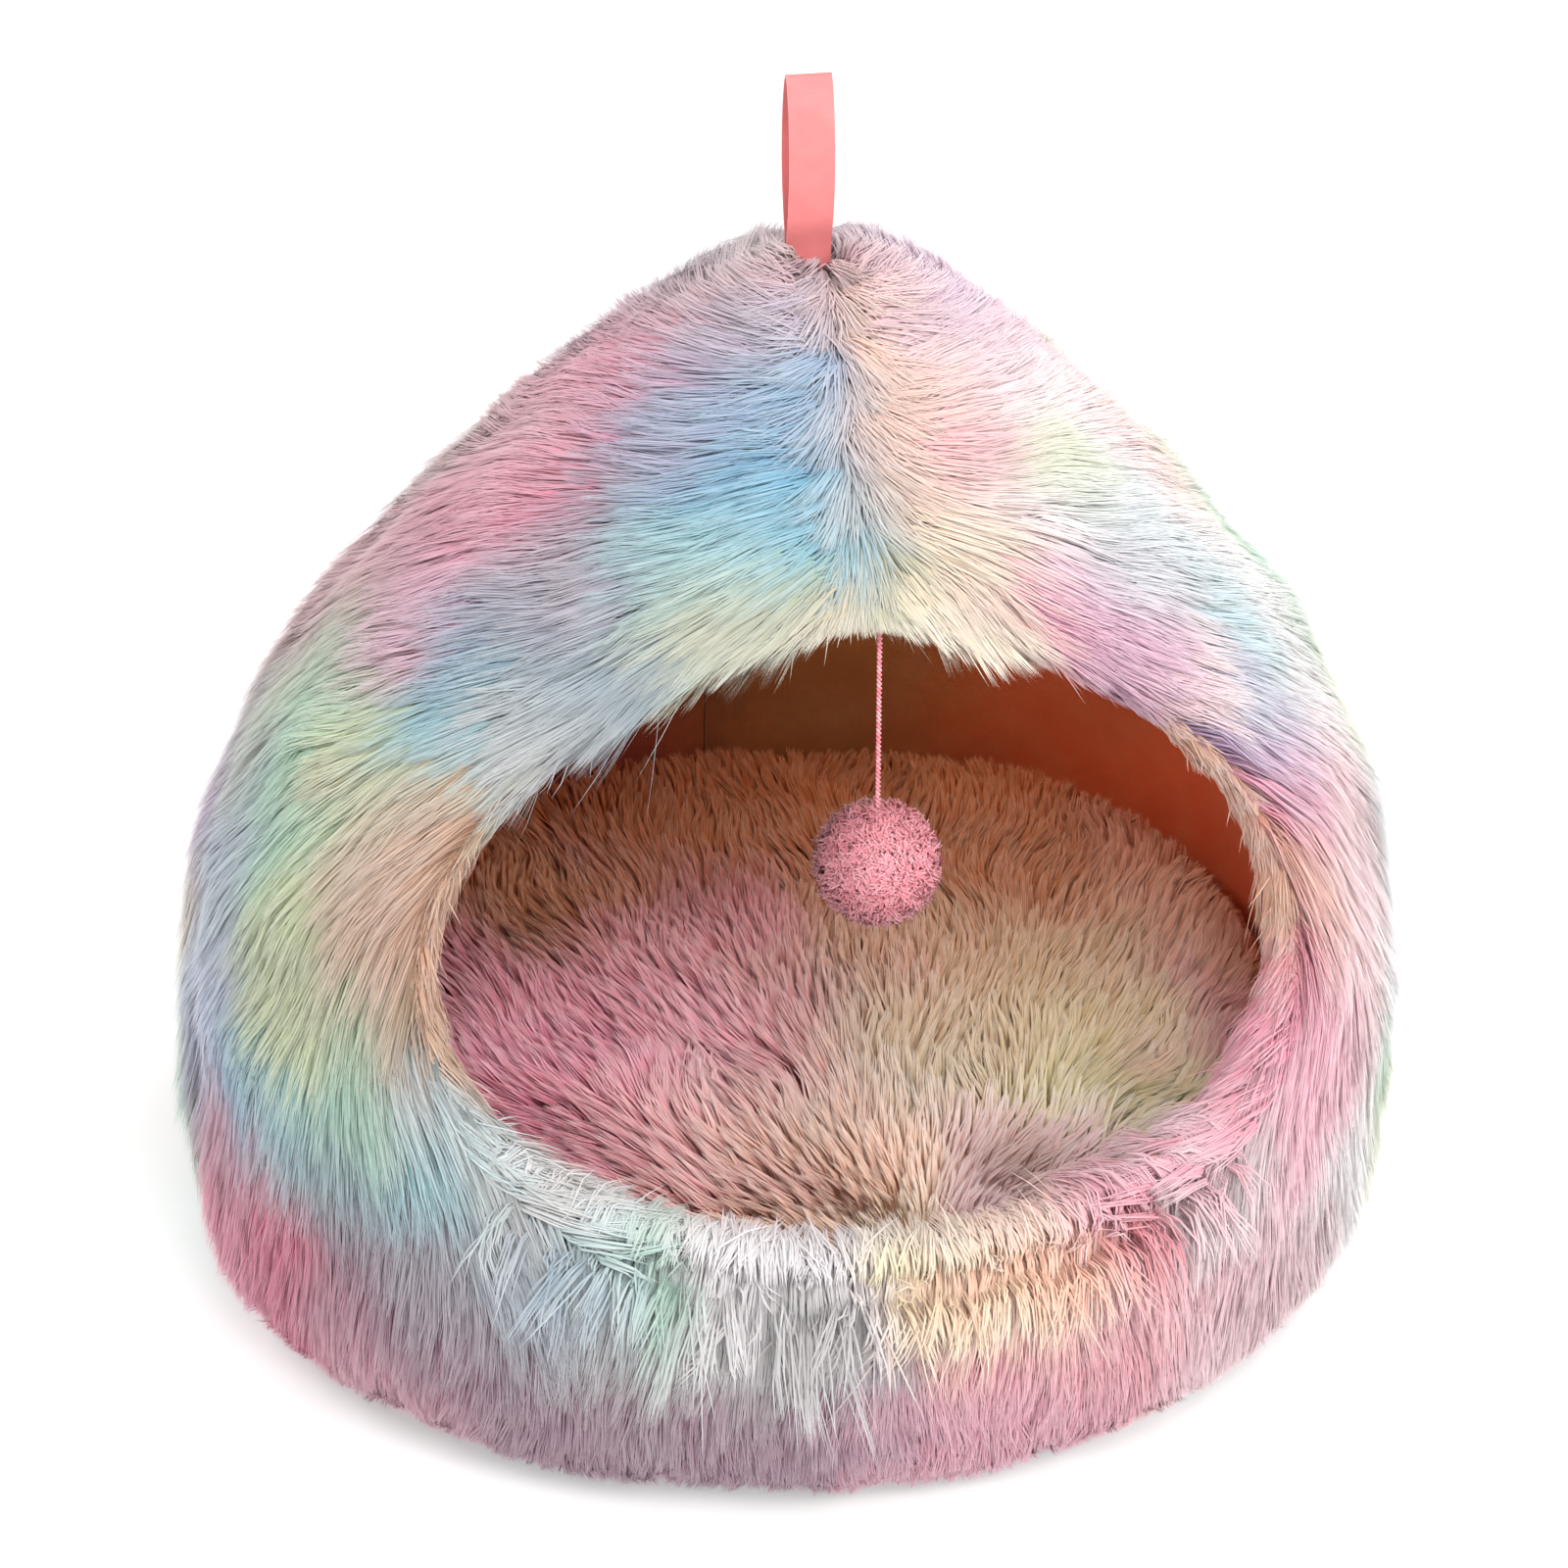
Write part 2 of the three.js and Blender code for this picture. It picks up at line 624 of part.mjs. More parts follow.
for (const [word, side] of [['left', -1], ['right', 1]]) {
  const gores = [
    { at: 'front', grid: frontGrid(side), middle: side * FRONT_MIDDLE, firstRow: 1 },
    { at: 'back', grid: backGrid(side), middle: side * BACK_MIDDLE, firstRow: 0 },
  ];
  for (const { at, grid, middle, firstRow } of gores) {
    const material = at === 'front' ? MATERIALS[`plush_${word}`] : MATERIALS.plush_back;
    const gore = toSolid(setOut(plushGore(grid), middle)).subtract(ribbonSlot());
    addPiece(`gore_${at}_${word}`, fromSolid(gore), material);
    addPiece(`lining_${at}_${word}`, setOut(liningGore(grid, firstRow), middle), MATERIALS.lining);
  }
  addPiece(`rim_locks_${word}`, rimLocks(side), MATERIALS.rim);
}
addPiece('base', baseGeometry(baseOutline()), MATERIALS.base);
addPiece('cushion', cushionGeometry(), MATERIALS.cushion);
addPiece('ribbon_loop', ribbonGeometry(), MATERIALS.ribbon);
addPiece('pompom_string', stringGeometry(), MATERIALS.pompom);
addPiece('pompom', pompomGeometry(), MATERIALS.pompom);

export default bed;
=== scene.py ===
# Looks of a plush cat cave bed: dyed long pile on four padded gores, a lining, a loose cushion,
# a satin ribbon loop and a pompom on a string. Metres, +Z up, the mouth faces -Y.
import math

import bpy
import numpy as np
from mathutils import Matrix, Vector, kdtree


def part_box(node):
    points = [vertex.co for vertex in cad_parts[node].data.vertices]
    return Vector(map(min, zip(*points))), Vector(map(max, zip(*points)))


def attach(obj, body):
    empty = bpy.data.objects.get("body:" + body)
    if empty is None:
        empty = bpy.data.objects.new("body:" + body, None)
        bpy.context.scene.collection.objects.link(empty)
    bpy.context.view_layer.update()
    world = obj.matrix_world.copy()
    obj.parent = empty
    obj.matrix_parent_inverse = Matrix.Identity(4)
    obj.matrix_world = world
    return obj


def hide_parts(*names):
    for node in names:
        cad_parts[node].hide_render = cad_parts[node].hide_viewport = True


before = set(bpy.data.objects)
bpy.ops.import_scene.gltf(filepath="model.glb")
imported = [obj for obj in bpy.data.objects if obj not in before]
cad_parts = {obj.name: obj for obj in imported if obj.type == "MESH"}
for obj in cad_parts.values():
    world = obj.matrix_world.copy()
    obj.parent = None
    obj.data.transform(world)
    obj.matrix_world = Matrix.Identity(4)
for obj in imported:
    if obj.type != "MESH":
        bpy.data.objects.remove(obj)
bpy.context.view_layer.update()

MM = 0.001
SIDES = {"left": -1, "right": 1}

# The padded wall, from the hem up: radius and height of the pile's tips, then of the inner cloth.
WALL_SECTIONS = MM * np.array([
    (190, 0, 158, 0),
    (212, 27, 178, 27),
    (217, 86, 186, 84),
    (211, 149, 181, 142),
    (181, 215, 155, 199),
    (134, 274, 114, 250),
    (83, 325, 70, 296),
    (37, 361, 32, 328),
    (16, 372, 14, 337),
    (0, 371, 0, 339),
])
WALL_THICKNESS = 32 * MM
TOP_HEIGHT = 371 * MM
LEAN = 13 * MM
LEAN_POWER = 1.5
SIDE_SEAM_LOW = math.radians(80)
SIDE_SEAM_HIGH = math.radians(104)
SIDE_SEAM_SWING = (0.2, 0.6)
SEAM_SET_OUT = 0.35 * MM
GAP = 0.3 * MM

# Furrows that the pile leaves over the seams: depth at the hem and at the top.
FRONT_FURROW = (3 * MM, 6 * MM)
SIDE_FURROW = (2 * MM, 5 * MM)
FURROW_WIDTH = 9 * MM
# Long swells of the pile: turns round the dome, waves from hem to top, phase, height.
PILE_SWELLS = (
    (11, 5, 0.4, 1.3 * MM),
    (-7, 9, 2.1, 1.0 * MM),
    (15, -4, 4.0, 0.8 * MM),
)
SWELL_FULL_RADIUS = 90 * MM

# The mouth is a superellipse in angle and height of the pile's tips.
MOUTH_HALF_ANGLE = math.radians(50)
MOUTH_HEIGHT = 200 * MM
MOUTH_UP = 96 * MM
MOUTH_DOWN = 92 * MM
MOUTH_POWER_UP = 1.85
MOUTH_POWER_DOWN = 2.1
NOSE = 16 * MM
# The padding thins toward the mouth on its inner side, over this distance.
FACE_TAPER = 42 * MM

BASE_THICKNESS = 14 * MM
CUSHION_RADIUS = 177 * MM
# The cushion's half section from the middle of its underside to its crown: share of the radius, height.
CUSHION_SECTION = np.array([
    (0.0, 0), (0.5, 0), (0.87, 0), (0.95, 11 * MM), (0.985, 28 * MM), (1.0, 50 * MM), (0.99, 68 * MM),
    (0.95, 79 * MM), (0.85, 84 * MM), (0.66, 86 * MM), (0.42, 88 * MM), (0.2, 90 * MM), (0.0, 90 * MM),
])
# The row of the section where its top begins.
CUSHION_TOP_ROW = 6
CUSHION_CROWN = 90 * MM
# Humps and hollows of its filling: x, y, reach, lift.
CUSHION_LUMPS = MM * np.array([
    (115, 95, 65, 11),
    (165, 10, 60, 7),
    (-40, 62, 42, -9),
    (-20, 130, 50, 3),
    (-115, 10, 60, 2),
    (-10, -35, 75, 3),
    (0, -160, 80, -7),
])

# Dye colours, as they look in white light. Some of them also stand for painted light and shade:
# stone, heather, plum, deep_rose and dusty_rose low on the front are in part painted shade; brick, garnet,
# olive, terracotta and ember are the lining's painted light and shade; toast and sienna at the cushion's
# back are in part painted shade.
PALETTE = {
    "white": "f2eef0",
    "pearl": "d8d6d4",
    "mist": "d3dfe2",
    "haze": "b4c4d2",
    "cream": "efe4cd",
    "yellow": "ece6b8",
    "leaf": "d6dfb4",
    "mint": "b2d8c4",
    "aqua": "a0d0d8",
    "sky": "86b8d4",
    "lavender": "b9bed8",
    "lilac": "c8b2d0",
    "dusk": "b8aebb",
    "mauve": "b896a8",
    "orchid": "dcb0c8",
    "blush": "f5d3d6",
    "pink": "f0b0c0",
    "candy": "f49ca8",
    "rose": "e88fa8",
    "dusty_rose": "cf96a6",
    "deep_rose": "d4748c",
    "apricot": "f7dac8",
    "peach": "f2c6b0",
    "sienna": "d08a5c",
    "brick": "b8604a",
    "garnet": "a83840",
    "olive": "b8804a",
    "terracotta": "f0784a",
    "ember": "ff7a50",
    "shell": "f0c8b0",
    "stone": "b2b0b0",
    "toast": "c08a66",
    "biscuit": "c8a688",
    "straw": "ccb48e",
    "slate": "a2b2bc",
    "heather": "a89ea8",
    "plum": "9c7c8c",
    "clay": "d8b4a0",
    "sand": "d6c8b0",
    "sage": "c2c8aa",
    "salmon": "dc9ca6",
    "petal": "dcb8be",
}

# What the reaches on the wall are multiplied by.
DYE_REACH = 1.35
# The dye's borders wander by about this far, in waves of about this run.
DYE_WANDER = 5 * MM
DYE_WAVE_RUN = 45 * MM
DYE_SEED = 5

# Where each dye lies on the wall: angle from the front in degrees, height and reach in mm.
# On the left, the darker rows low on the front, below about 80 mm (stone, heather, plum, deep_rose,
# dusty_rose), are in part painted shade where the wall turns under toward the floor.
LEFT_DYE_AND_SHADE = {
    "blush": ((-6, 364, 14),),
    "orchid": ((-55, 362, 16), (-84, 256, 18), (-72, 270, 16), (-102, 236, 20)),
    "rose": (
        (-80, 354, 24), (-76, 328, 24), (-82, 302, 24), (-90, 280, 26), (-70, 296, 18), (-102, 338, 26),
        (-104, 304, 26), (-74, 38, 20),
    ),
    "lilac": ((-62, 341, 16),),
    "mauve": ((-58, 314, 18),),
    "sky": (
        (-36, 348, 16), (-45, 327, 20), (-20, 332, 18), (-26, 318, 20), (-14, 316, 16), (-36, 308, 15),
        (-64, 252, 15), (-70, 104, 14),
    ),
    "lavender": ((-10, 346, 14), (-5, 330, 12), (-80, 126, 18), (-80, 100, 18)),
    "dusk": ((-52, 302, 16), (-58, 281, 16), (-45, 287, 14)),
    "aqua": (
        (-9, 310, 12), (-20, 301, 13), (-30, 297, 13), (-56, 239, 14), (-61, 107, 15), (-42, 108, 12),
    ),
    "sage": ((-20, 290, 13), (-64, 156, 15), (-51, 150, 13)),
    "mint": ((-33, 290, 13), (-82, 222, 18), (-75, 197, 17), (-51, 124, 14), (-21, 100, 9)),
    "sand": (
        (-26, 281, 14), (-8, 288, 12), (-14, 280, 12), (-52, 221, 13), (-61, 211, 14), (-54, 170, 13),
    ),
    "slate": ((-62, 262, 14), (-40, 270, 14), (-51, 262, 16), (-50, 96, 14), (-28, 76, 12)),
    "pearl": ((-45, 248, 12), (-34, 108, 13)),
    "leaf": ((-68, 229, 15), (-68, 177, 15), (-62, 134, 14)),
    "mist": ((-95, 218, 20), (-82, 148, 18), (-42, 135, 12), (-26, 96, 12)),
    "pink": ((-104, 268, 24),),
    "clay": ((-50, 203, 15), (-57, 191, 15), (-46, 181, 14), (-44, 158, 12)),
    "haze": ((-84, 170, 18), (-33, 90, 13)),
    "white": ((-14, 99, 14), (-7, 96, 12)),
    "stone": ((-20, 80, 13), (-10, 72, 15), (-24, 62, 14)),
    "heather": ((-41, 79, 14), (-34, 58, 14), (-3, 58, 9)),
    "dusty_rose": ((-72, 80, 16), (-50, 34, 16)),
    "deep_rose": ((-62, 76, 15), (-64, 56, 16), (-60, 36, 16)),
    "plum": ((-50, 64, 14), (-40, 44, 14), (-30, 34, 16), (-16, 36, 16), (-5, 36, 12)),
}
RIGHT_DYE = {
    "yellow": ((2, 105, 6), (70, 50, 22)),
    "cream": ((5, 96, 13), (23, 308, 13), (17, 290, 16)),
    "apricot": ((13, 98, 15), (12, 346, 16), (11, 328, 16), (30, 346, 16), (9, 311, 12)),
    "shell": ((5, 76, 12), (13, 80, 14)),
    "salmon": ((21, 84, 15), (5, 56, 14), (14, 54, 16), (23, 46, 18)),
    "pink": (
        (21, 112, 12), (30, 120, 12), (38, 134, 16), (41, 112, 18), (48, 104, 16), (31, 325, 15),
        (30, 285, 14), (51, 200, 13), (45, 157, 13),
    ),
    "pearl": ((30, 97, 12), (37, 106, 12)),
    "petal": ((32, 62, 15), (34, 30, 16), (44, 44, 18)),
    "white": (
        (57, 42, 20), (52, 76, 18), (38, 301, 13), (66, 318, 20), (72, 262, 20), (76, 232, 22),
        (66, 124, 18),
    ),
    "blush": (
        (56, 100, 18), (20, 364, 18), (50, 366, 18), (78, 330, 20), (46, 341, 14), (80, 298, 20),
        (49, 248, 12), (66, 200, 20), (60, 166, 18), (56, 138, 16),
    ),
    "mint": ((66, 84, 20),),
    "dusty_rose": ((3, 34, 14), (14, 32, 16)),
    "lilac": ((62, 352, 12), (55, 219, 14)),
    "leaf": ((50, 312, 12),),
    "mist": ((56, 292, 15), (60, 264, 18), (64, 232, 16), (76, 156, 22)),
    "sage": ((5, 294, 10),),
    "orchid": ((43, 276, 15), (38, 264, 12)),
    "aqua": ((60, 246, 14),),
    "peach": ((48, 178, 14),),
}
BACK_DYE = {
    "lilac": ((96, 350, 24), (112, 172, 32), (180, 48, 30)),
    "pink": ((120, 340, 26), (168, 240, 34), (140, 110, 34)),
    "sky": ((150, 345, 24), (136, 176, 34)),
    "lavender": ((178, 350, 22), (142, 238, 34), (138, 42, 34)),
    "cream": ((100, 290, 30), (160, 178, 34)),
    "aqua": ((124, 292, 30), (164, 112, 34)),
    "blush": ((152, 296, 30), (94, 112, 30)),
    "mint": ((176, 300, 26), (96, 236, 30), (116, 108, 34)),
    "peach": ((118, 240, 30), (160, 46, 34)),
    "yellow": ((94, 178, 30),),
    "rose": ((180, 172, 30), (114, 44, 32)),
    "leaf": ((94, 44, 30),),
}
# The back's left half takes its dye from turned heights, so the two halves differ.
BACK_LEFT_TURN = 0.5

# Where each dye lies on the cushion: x, y and reach in mm. The pale shell, blush and cream at its
# front are in part painted light, and the toast and sienna at its back in part painted shade.
CUSHION_DYE_AND_LIGHT = {
    "dusty_rose": ((-130, -20, 45),),
    "rose": ((-90, -20, 40), (-100, -90, 40)),
    "pink": ((-55, -50, 34), (-60, -105, 32), (140, -50, 26)),
    "salmon": ((-20, -45, 34), (-35, 35, 36)),
    "toast": ((-95, 55, 40), (100, 40, 36), (60, 60, 40)),
    "sienna": ((-85, 115, 40), (-20, 110, 40), (95, 110, 40), (30, 130, 40), (-150, 60, 40)),
    "sand": ((20, -75, 34),),
    "shell": ((6, -125, 30), (-46, -142, 36)),
    "blush": ((46, -132, 26), (62, -152, 24)),
    "cream": ((100, -128, 24), (16, -162, 22)),
    "clay": ((-24, -84, 26),),
    "yellow": ((95, -90, 34),),
    "straw": ((70, -60, 34), (105, -30, 36)),
    "biscuit": ((48, -15, 36),),
    "peach": ((150, 10, 34),),
}

# How the pile lies, as degrees turned from straight down away from the front seam: angle, height, turn.
COMB = (
    (4, 364, 84),
    (4, 345, 82),
    (4, 326, 66),
    (4, 308, 40),
    (4, 292, 16),
    (30, 355, 78),
    (30, 330, 66),
    (30, 305, 50),
    (26, 288, 34),
    (60, 340, 58),
    (60, 300, 46),
    (50, 265, 40),
    (60, 235, 34),
    (90, 330, 36),
    (90, 280, 26),
    (88, 220, 14),
    (54, 205, 14),
    (50, 180, 2),
    (72, 180, 8),
    (52, 145, -4),
    (46, 126, -14),
    (70, 120, 0),
    (40, 105, -8),
    (20, 95, 0),
    (4, 90, 0),
    (40, 40, 0),
    (75, 40, 0),
)
COMB_REACH = 30 * MM

# How many strands each piece of pile has, and how they hold together.
PILE_FRONT = 95000
PILE_BACK = 58000
PILE_SEAM = 2500
PILE_CUSHION = 82000
PILE_RIM = 13000
PILE_POMPOM = 14000
STRANDS_IN_TUFT = 8
STRANDS_IN_LOCK = 90


# Small helpers

# A weight that keeps far places from dividing by 0.
FAINT = 1e-30


def lerp(a, b, share):
    return a + (b - a) * share


def smoothstep(value, low, high):
    share = np.clip((value - low) / (high - low), 0, 1)
    return share * share * (3 - 2 * share)


def unit(vectors):
    return vectors / np.maximum(np.linalg.norm(vectors, axis=-1, keepdims=True), 1e-12)


def linear(colour):
    """A palette colour as linear red, green and blue."""
    srgb = np.array([int(PALETTE[colour][k:k + 2], 16) / 255 for k in (0, 2, 4)])
    return np.where(srgb <= 0.04045, srgb / 12.92, ((srgb + 0.055) / 1.055) ** 2.4)


def waves(points, scale, seed):
    """Smooth unordered values of about unit size, with bumps of about that scale."""
    rng = np.random.default_rng(seed)
    count = 12
    total = np.zeros(len(points))
    for _ in range(count):
        way = unit(rng.normal(size=3))
        length = scale * rng.uniform(0.7, 1.6)
        total += np.sin(points @ way * (2 * math.pi / length) + rng.uniform(0, 2 * math.pi))
    return total / math.sqrt(count / 2)


# Steps that fill a square evenly: 1 over the plastic number, and that squared.
EVEN_STEPS = (0.7548776662, 0.5698402910)


def spread(count):
    """Pairs of numbers from 0 to 1 that fill the square evenly, as do the first few of them."""
    k = np.arange(1, count + 1)
    return [(0.5 + step * k) % 1 for step in EVEN_STEPS]


def nearest(points, seeds):
    """The number of the nearest seed for each point."""
    tree = kdtree.KDTree(len(seeds))
    for k, seed in enumerate(seeds):
        tree.insert(seed, k)
    tree.balance()
    return np.array([tree.find(point)[1] for point in points])


def tufts_and_locks(roots):
    """How many tufts and locks the strands at these roots make, and the tuft and lock of each strand."""
    tufts = len(roots) // STRANDS_IN_TUFT
    locks = len(roots) // STRANDS_IN_LOCK
    return tufts, locks, nearest(roots, roots[:tufts]), nearest(roots, roots[:locks])


def tuft_chance(rng, tufts, tuft, by_tuft=0.6):
    """Chance from 0 to 1 for each strand, in part that of its tuft."""
    return by_tuft * rng.random(tufts)[tuft] + (1 - by_tuft) * rng.random(len(tuft))


# How unevenly groups hold their strands: the least, and what chance adds.
PULL_UNEVEN = (0.6, 0.8)


def gather(lines, pulls, shares, rng, free=False):
    """Draw strands together, except free ones: a pull for each group, and its share at points of the line."""
    least, more = PULL_UNEVEN
    for group, pull in pulls:
        hold = np.where(free, 0, pull * (least + more * rng.random(len(lines))))[:, None]
        for point, share in shares:
            lines[:, point] = lerp(lines[:, point], lines[:, point][group], share * hold)


def blended(points, spots, values, reaches):
    """Rows of values, such as colours, at the points, blended from the spots around them."""
    total = np.zeros((len(points), len(values[0])))
    weight = np.zeros(len(points))
    for spot, value, reach in zip(spots, values, reaches):
        share = np.exp(-np.sum((points - spot) ** 2, axis=1) / reach**2) + FAINT
        total += share[:, None] * value
        weight += share
    return total / weight[:, None]


# The wall's form

def centripetal(points, steps):
    """Points along the centripetal curve through a row of points."""
    rows = np.vstack([2 * points[0] - points[1], points, 2 * points[-1] - points[-2]])
    share = np.linspace(0, 1, steps, endpoint=False)[:, None]
    spans = []
    for k in range(len(points) - 1):
        a, b, c, d = rows[k:k + 4]
        before, span, after = (math.sqrt(np.linalg.norm(q - p)) for p, q in ((a, b), (b, c), (c, d)))
        start = ((b - a) / before - (c - a) / (before + span) + (c - b) / span) * span
        end = ((c - b) / span - (d - b) / (span + after) + (d - c) / after) * span
        square = 3 * (c - b) - 2 * start - end
        cubic = 2 * (b - c) + start + end
        spans.append(b + start * share + square * share**2 + cubic * share**3)
    return np.vstack([*spans, points[-1:]])


CURVE_STEPS = 80
TIP = centripetal(WALL_SECTIONS[:, 0:2], CURVE_STEPS)
FACE = centripetal(WALL_SECTIONS[:, 2:4], CURVE_STEPS)
RUN = np.concatenate([[0], np.cumsum(np.linalg.norm(np.diff(TIP, axis=0), axis=1))])
WALL_RUN = RUN[-1]
RISE = RUN / WALL_RUN
MOUTH_RISE = float(np.interp(MOUTH_HEIGHT, TIP[:-CURVE_STEPS, 1], RISE[:-CURVE_STEPS]))


def profile(rise, depth):
    """Radius and height of the wall: rise from hem 0 to top 1, depth from tips 0 to inner cloth 1."""
    rise = np.clip(rise, 0, 1)
    radius = lerp(np.interp(rise, RISE, TIP[:, 0]), np.interp(rise, RISE, FACE[:, 0]), depth)
    height = lerp(np.interp(rise, RISE, TIP[:, 1]), np.interp(rise, RISE, FACE[:, 1]), depth)
    return radius, height


def wall_point(angle, rise, depth):
    """Points in the wall, by angle from the front, rise and depth."""
    radius, height = profile(rise, depth)
    lean = LEAN * (np.maximum(height, 0) / TOP_HEIGHT) ** LEAN_POWER
    return np.stack([lean + radius * np.sin(angle), -radius * np.cos(angle), height], axis=-1)


# Depth in the wall at which the ways along it and out of it are measured.
WAY_DEPTH = 0.3


def wall_normal(angle, rise):
    """The way out of the wall."""
    step = 0.006
    low_radius, low_height = profile(rise - step, WAY_DEPTH)
    high_radius, high_height = profile(rise + step, WAY_DEPTH)
    flat = unit(np.stack([high_height - low_height, low_radius - high_radius], axis=-1))
    return np.stack([flat[..., 0] * np.sin(angle), -flat[..., 0] * np.cos(angle), flat[..., 1]], axis=-1)


def rise_at(height):
    """The rise at which the pile's tips are at a height."""
    rising = np.argmax(TIP[:, 1])
    return np.interp(height, TIP[:rising, 1], RISE[:rising])


def side_seam(rise):
    """Angle of the side seam, which swings back as it rises."""
    return lerp(SIDE_SEAM_LOW, SIDE_SEAM_HIGH, smoothstep(rise, *SIDE_SEAM_SWING))


def pile_dip(angle, rise):
    """How far the pile lies below its full height, as a share of the wall's thickness."""
    radius, _ = profile(rise, 0)
    furrow = np.zeros_like(angle)
    side = side_seam(rise)
    furrows = ((0, FRONT_FURROW), (math.pi, FRONT_FURROW), (side, SIDE_FURROW), (-side, SIDE_FURROW))
    for seam, depths in furrows:
        turn = np.abs((angle - seam + math.pi) % (2 * math.pi) - math.pi)
        depth = lerp(*depths, rise)
        furrow = np.maximum(furrow, depth * np.exp(-((radius * turn / FURROW_WIDTH) ** 2)))
    swell = np.zeros_like(angle)
    for around, along, phase, height in PILE_SWELLS:
        swell += height * np.sin(around * angle + 2 * math.pi * along * rise + phase)
    swell *= np.minimum(1, radius / SWELL_FULL_RADIUS)
    return (furrow - swell) / WALL_THICKNESS


def mouth_distance(angle, rise):
    """Distance from the mouth's edge along the wall, less than 0 inside the mouth."""
    radius, _ = profile(rise, 0.5)
    past = np.interp(rise, RISE, TIP[:, 1]) - MOUTH_HEIGHT
    reach = np.where(past > 0, MOUTH_UP, MOUTH_DOWN)
    power = np.where(past > 0, MOUTH_POWER_UP, MOUTH_POWER_DOWN)
    across = np.abs(angle) / MOUTH_HALF_ANGLE
    share = (across**power + np.abs(past / reach) ** power) ** (1 / power)
    far = np.hypot(radius * angle, (rise - MOUTH_RISE) * WALL_RUN)
    return far * (1 - 1 / np.maximum(share, 0.05))


def nose_share(distance):
    """The share of the half thickness that the wall has reached at a distance from its rounded nose."""
    return np.sqrt(1 - (1 - np.clip(distance / NOSE, 0, 1)) ** 2)


def face_depth(distance):
    """Depth of the inner cloth at a distance from the mouth's edge."""
    return 0.5 + 0.5 * np.sin(math.pi / 2 * np.clip(distance / FACE_TAPER, 0, 1))


def mouth_edge(turn, side):
    """Angle and rise of the mouth's edge: turn runs from the top, 0, round one side to the bottom, 1."""
    along = np.cos(math.pi * turn)
    power = 2 / np.where(along > 0, MOUTH_POWER_UP, MOUTH_POWER_DOWN)
    across = np.sin(math.pi * turn) ** power
    reach = np.where(along > 0, MOUTH_UP, MOUTH_DOWN)
    height = MOUTH_HEIGHT + reach * np.sign(along) * np.abs(along) ** power
    return side * MOUTH_HALF_ANGLE * across, rise_at(height)


# Meshes

def link_piece(name, mesh, material):
    """A new object of a mesh, which rides on the bed."""
    piece = bpy.data.objects.new(name, mesh)
    bpy.context.collection.objects.link(piece)
    mesh.materials.append(material)
    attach(piece, "root")
    return piece


def add_piece(name, points, faces, material):
    """A piece made of points and faces."""
    mesh = bpy.data.meshes.new(name)
    mesh.from_pydata(points.tolist(), [], faces)
    mesh.update()
    return link_piece(name, mesh, material)


def paint(mesh, name, values):
    """Store a value or a colour at each point of a mesh."""
    if values.ndim == 1:
        layer = mesh.attributes.new(name, "FLOAT", "POINT")
        layer.data.foreach_set("value", values.astype(np.float32))
        return
    layer = mesh.attributes.new(name, "FLOAT_COLOR", "POINT")
    opaque = np.concatenate([values, np.ones((len(values), 1))], axis=1)
    layer.data.foreach_set("color", opaque.astype(np.float32).ravel())


def paint_pile(mesh, dye, along, chance):
    """Store what a pile's material reads: its dye, how far along a strand each point is, and chance."""
    paint(mesh, "dye", dye)
    paint(mesh, "along", along)
    paint(mesh, "chance", chance)


def map_cloth(piece, sheet_map):
    """Map a cloth's threads, alike on its two sides."""
    both_sides = np.concatenate([sheet_map, sheet_map])
    layer = piece.data.uv_layers.new(name="cloth")
    corners = np.empty(len(piece.data.loops), dtype=np.int32)
    piece.data.loops.foreach_get("vertex_index", corners)
    layer.data.foreach_set("uv", both_sides[corners].astype(np.float32).ravel())


# How far strands are shaded by their own flat faces, and not by the skin that they grow from.
FLAT_SHARE = 0.75
# How sharply strands narrow toward their tips.
TAPER_POWER = 1.6
# Each strand has a cell of the map to itself, with these margins across and along it.
CELL_MARGINS = (0.12, 0.08)


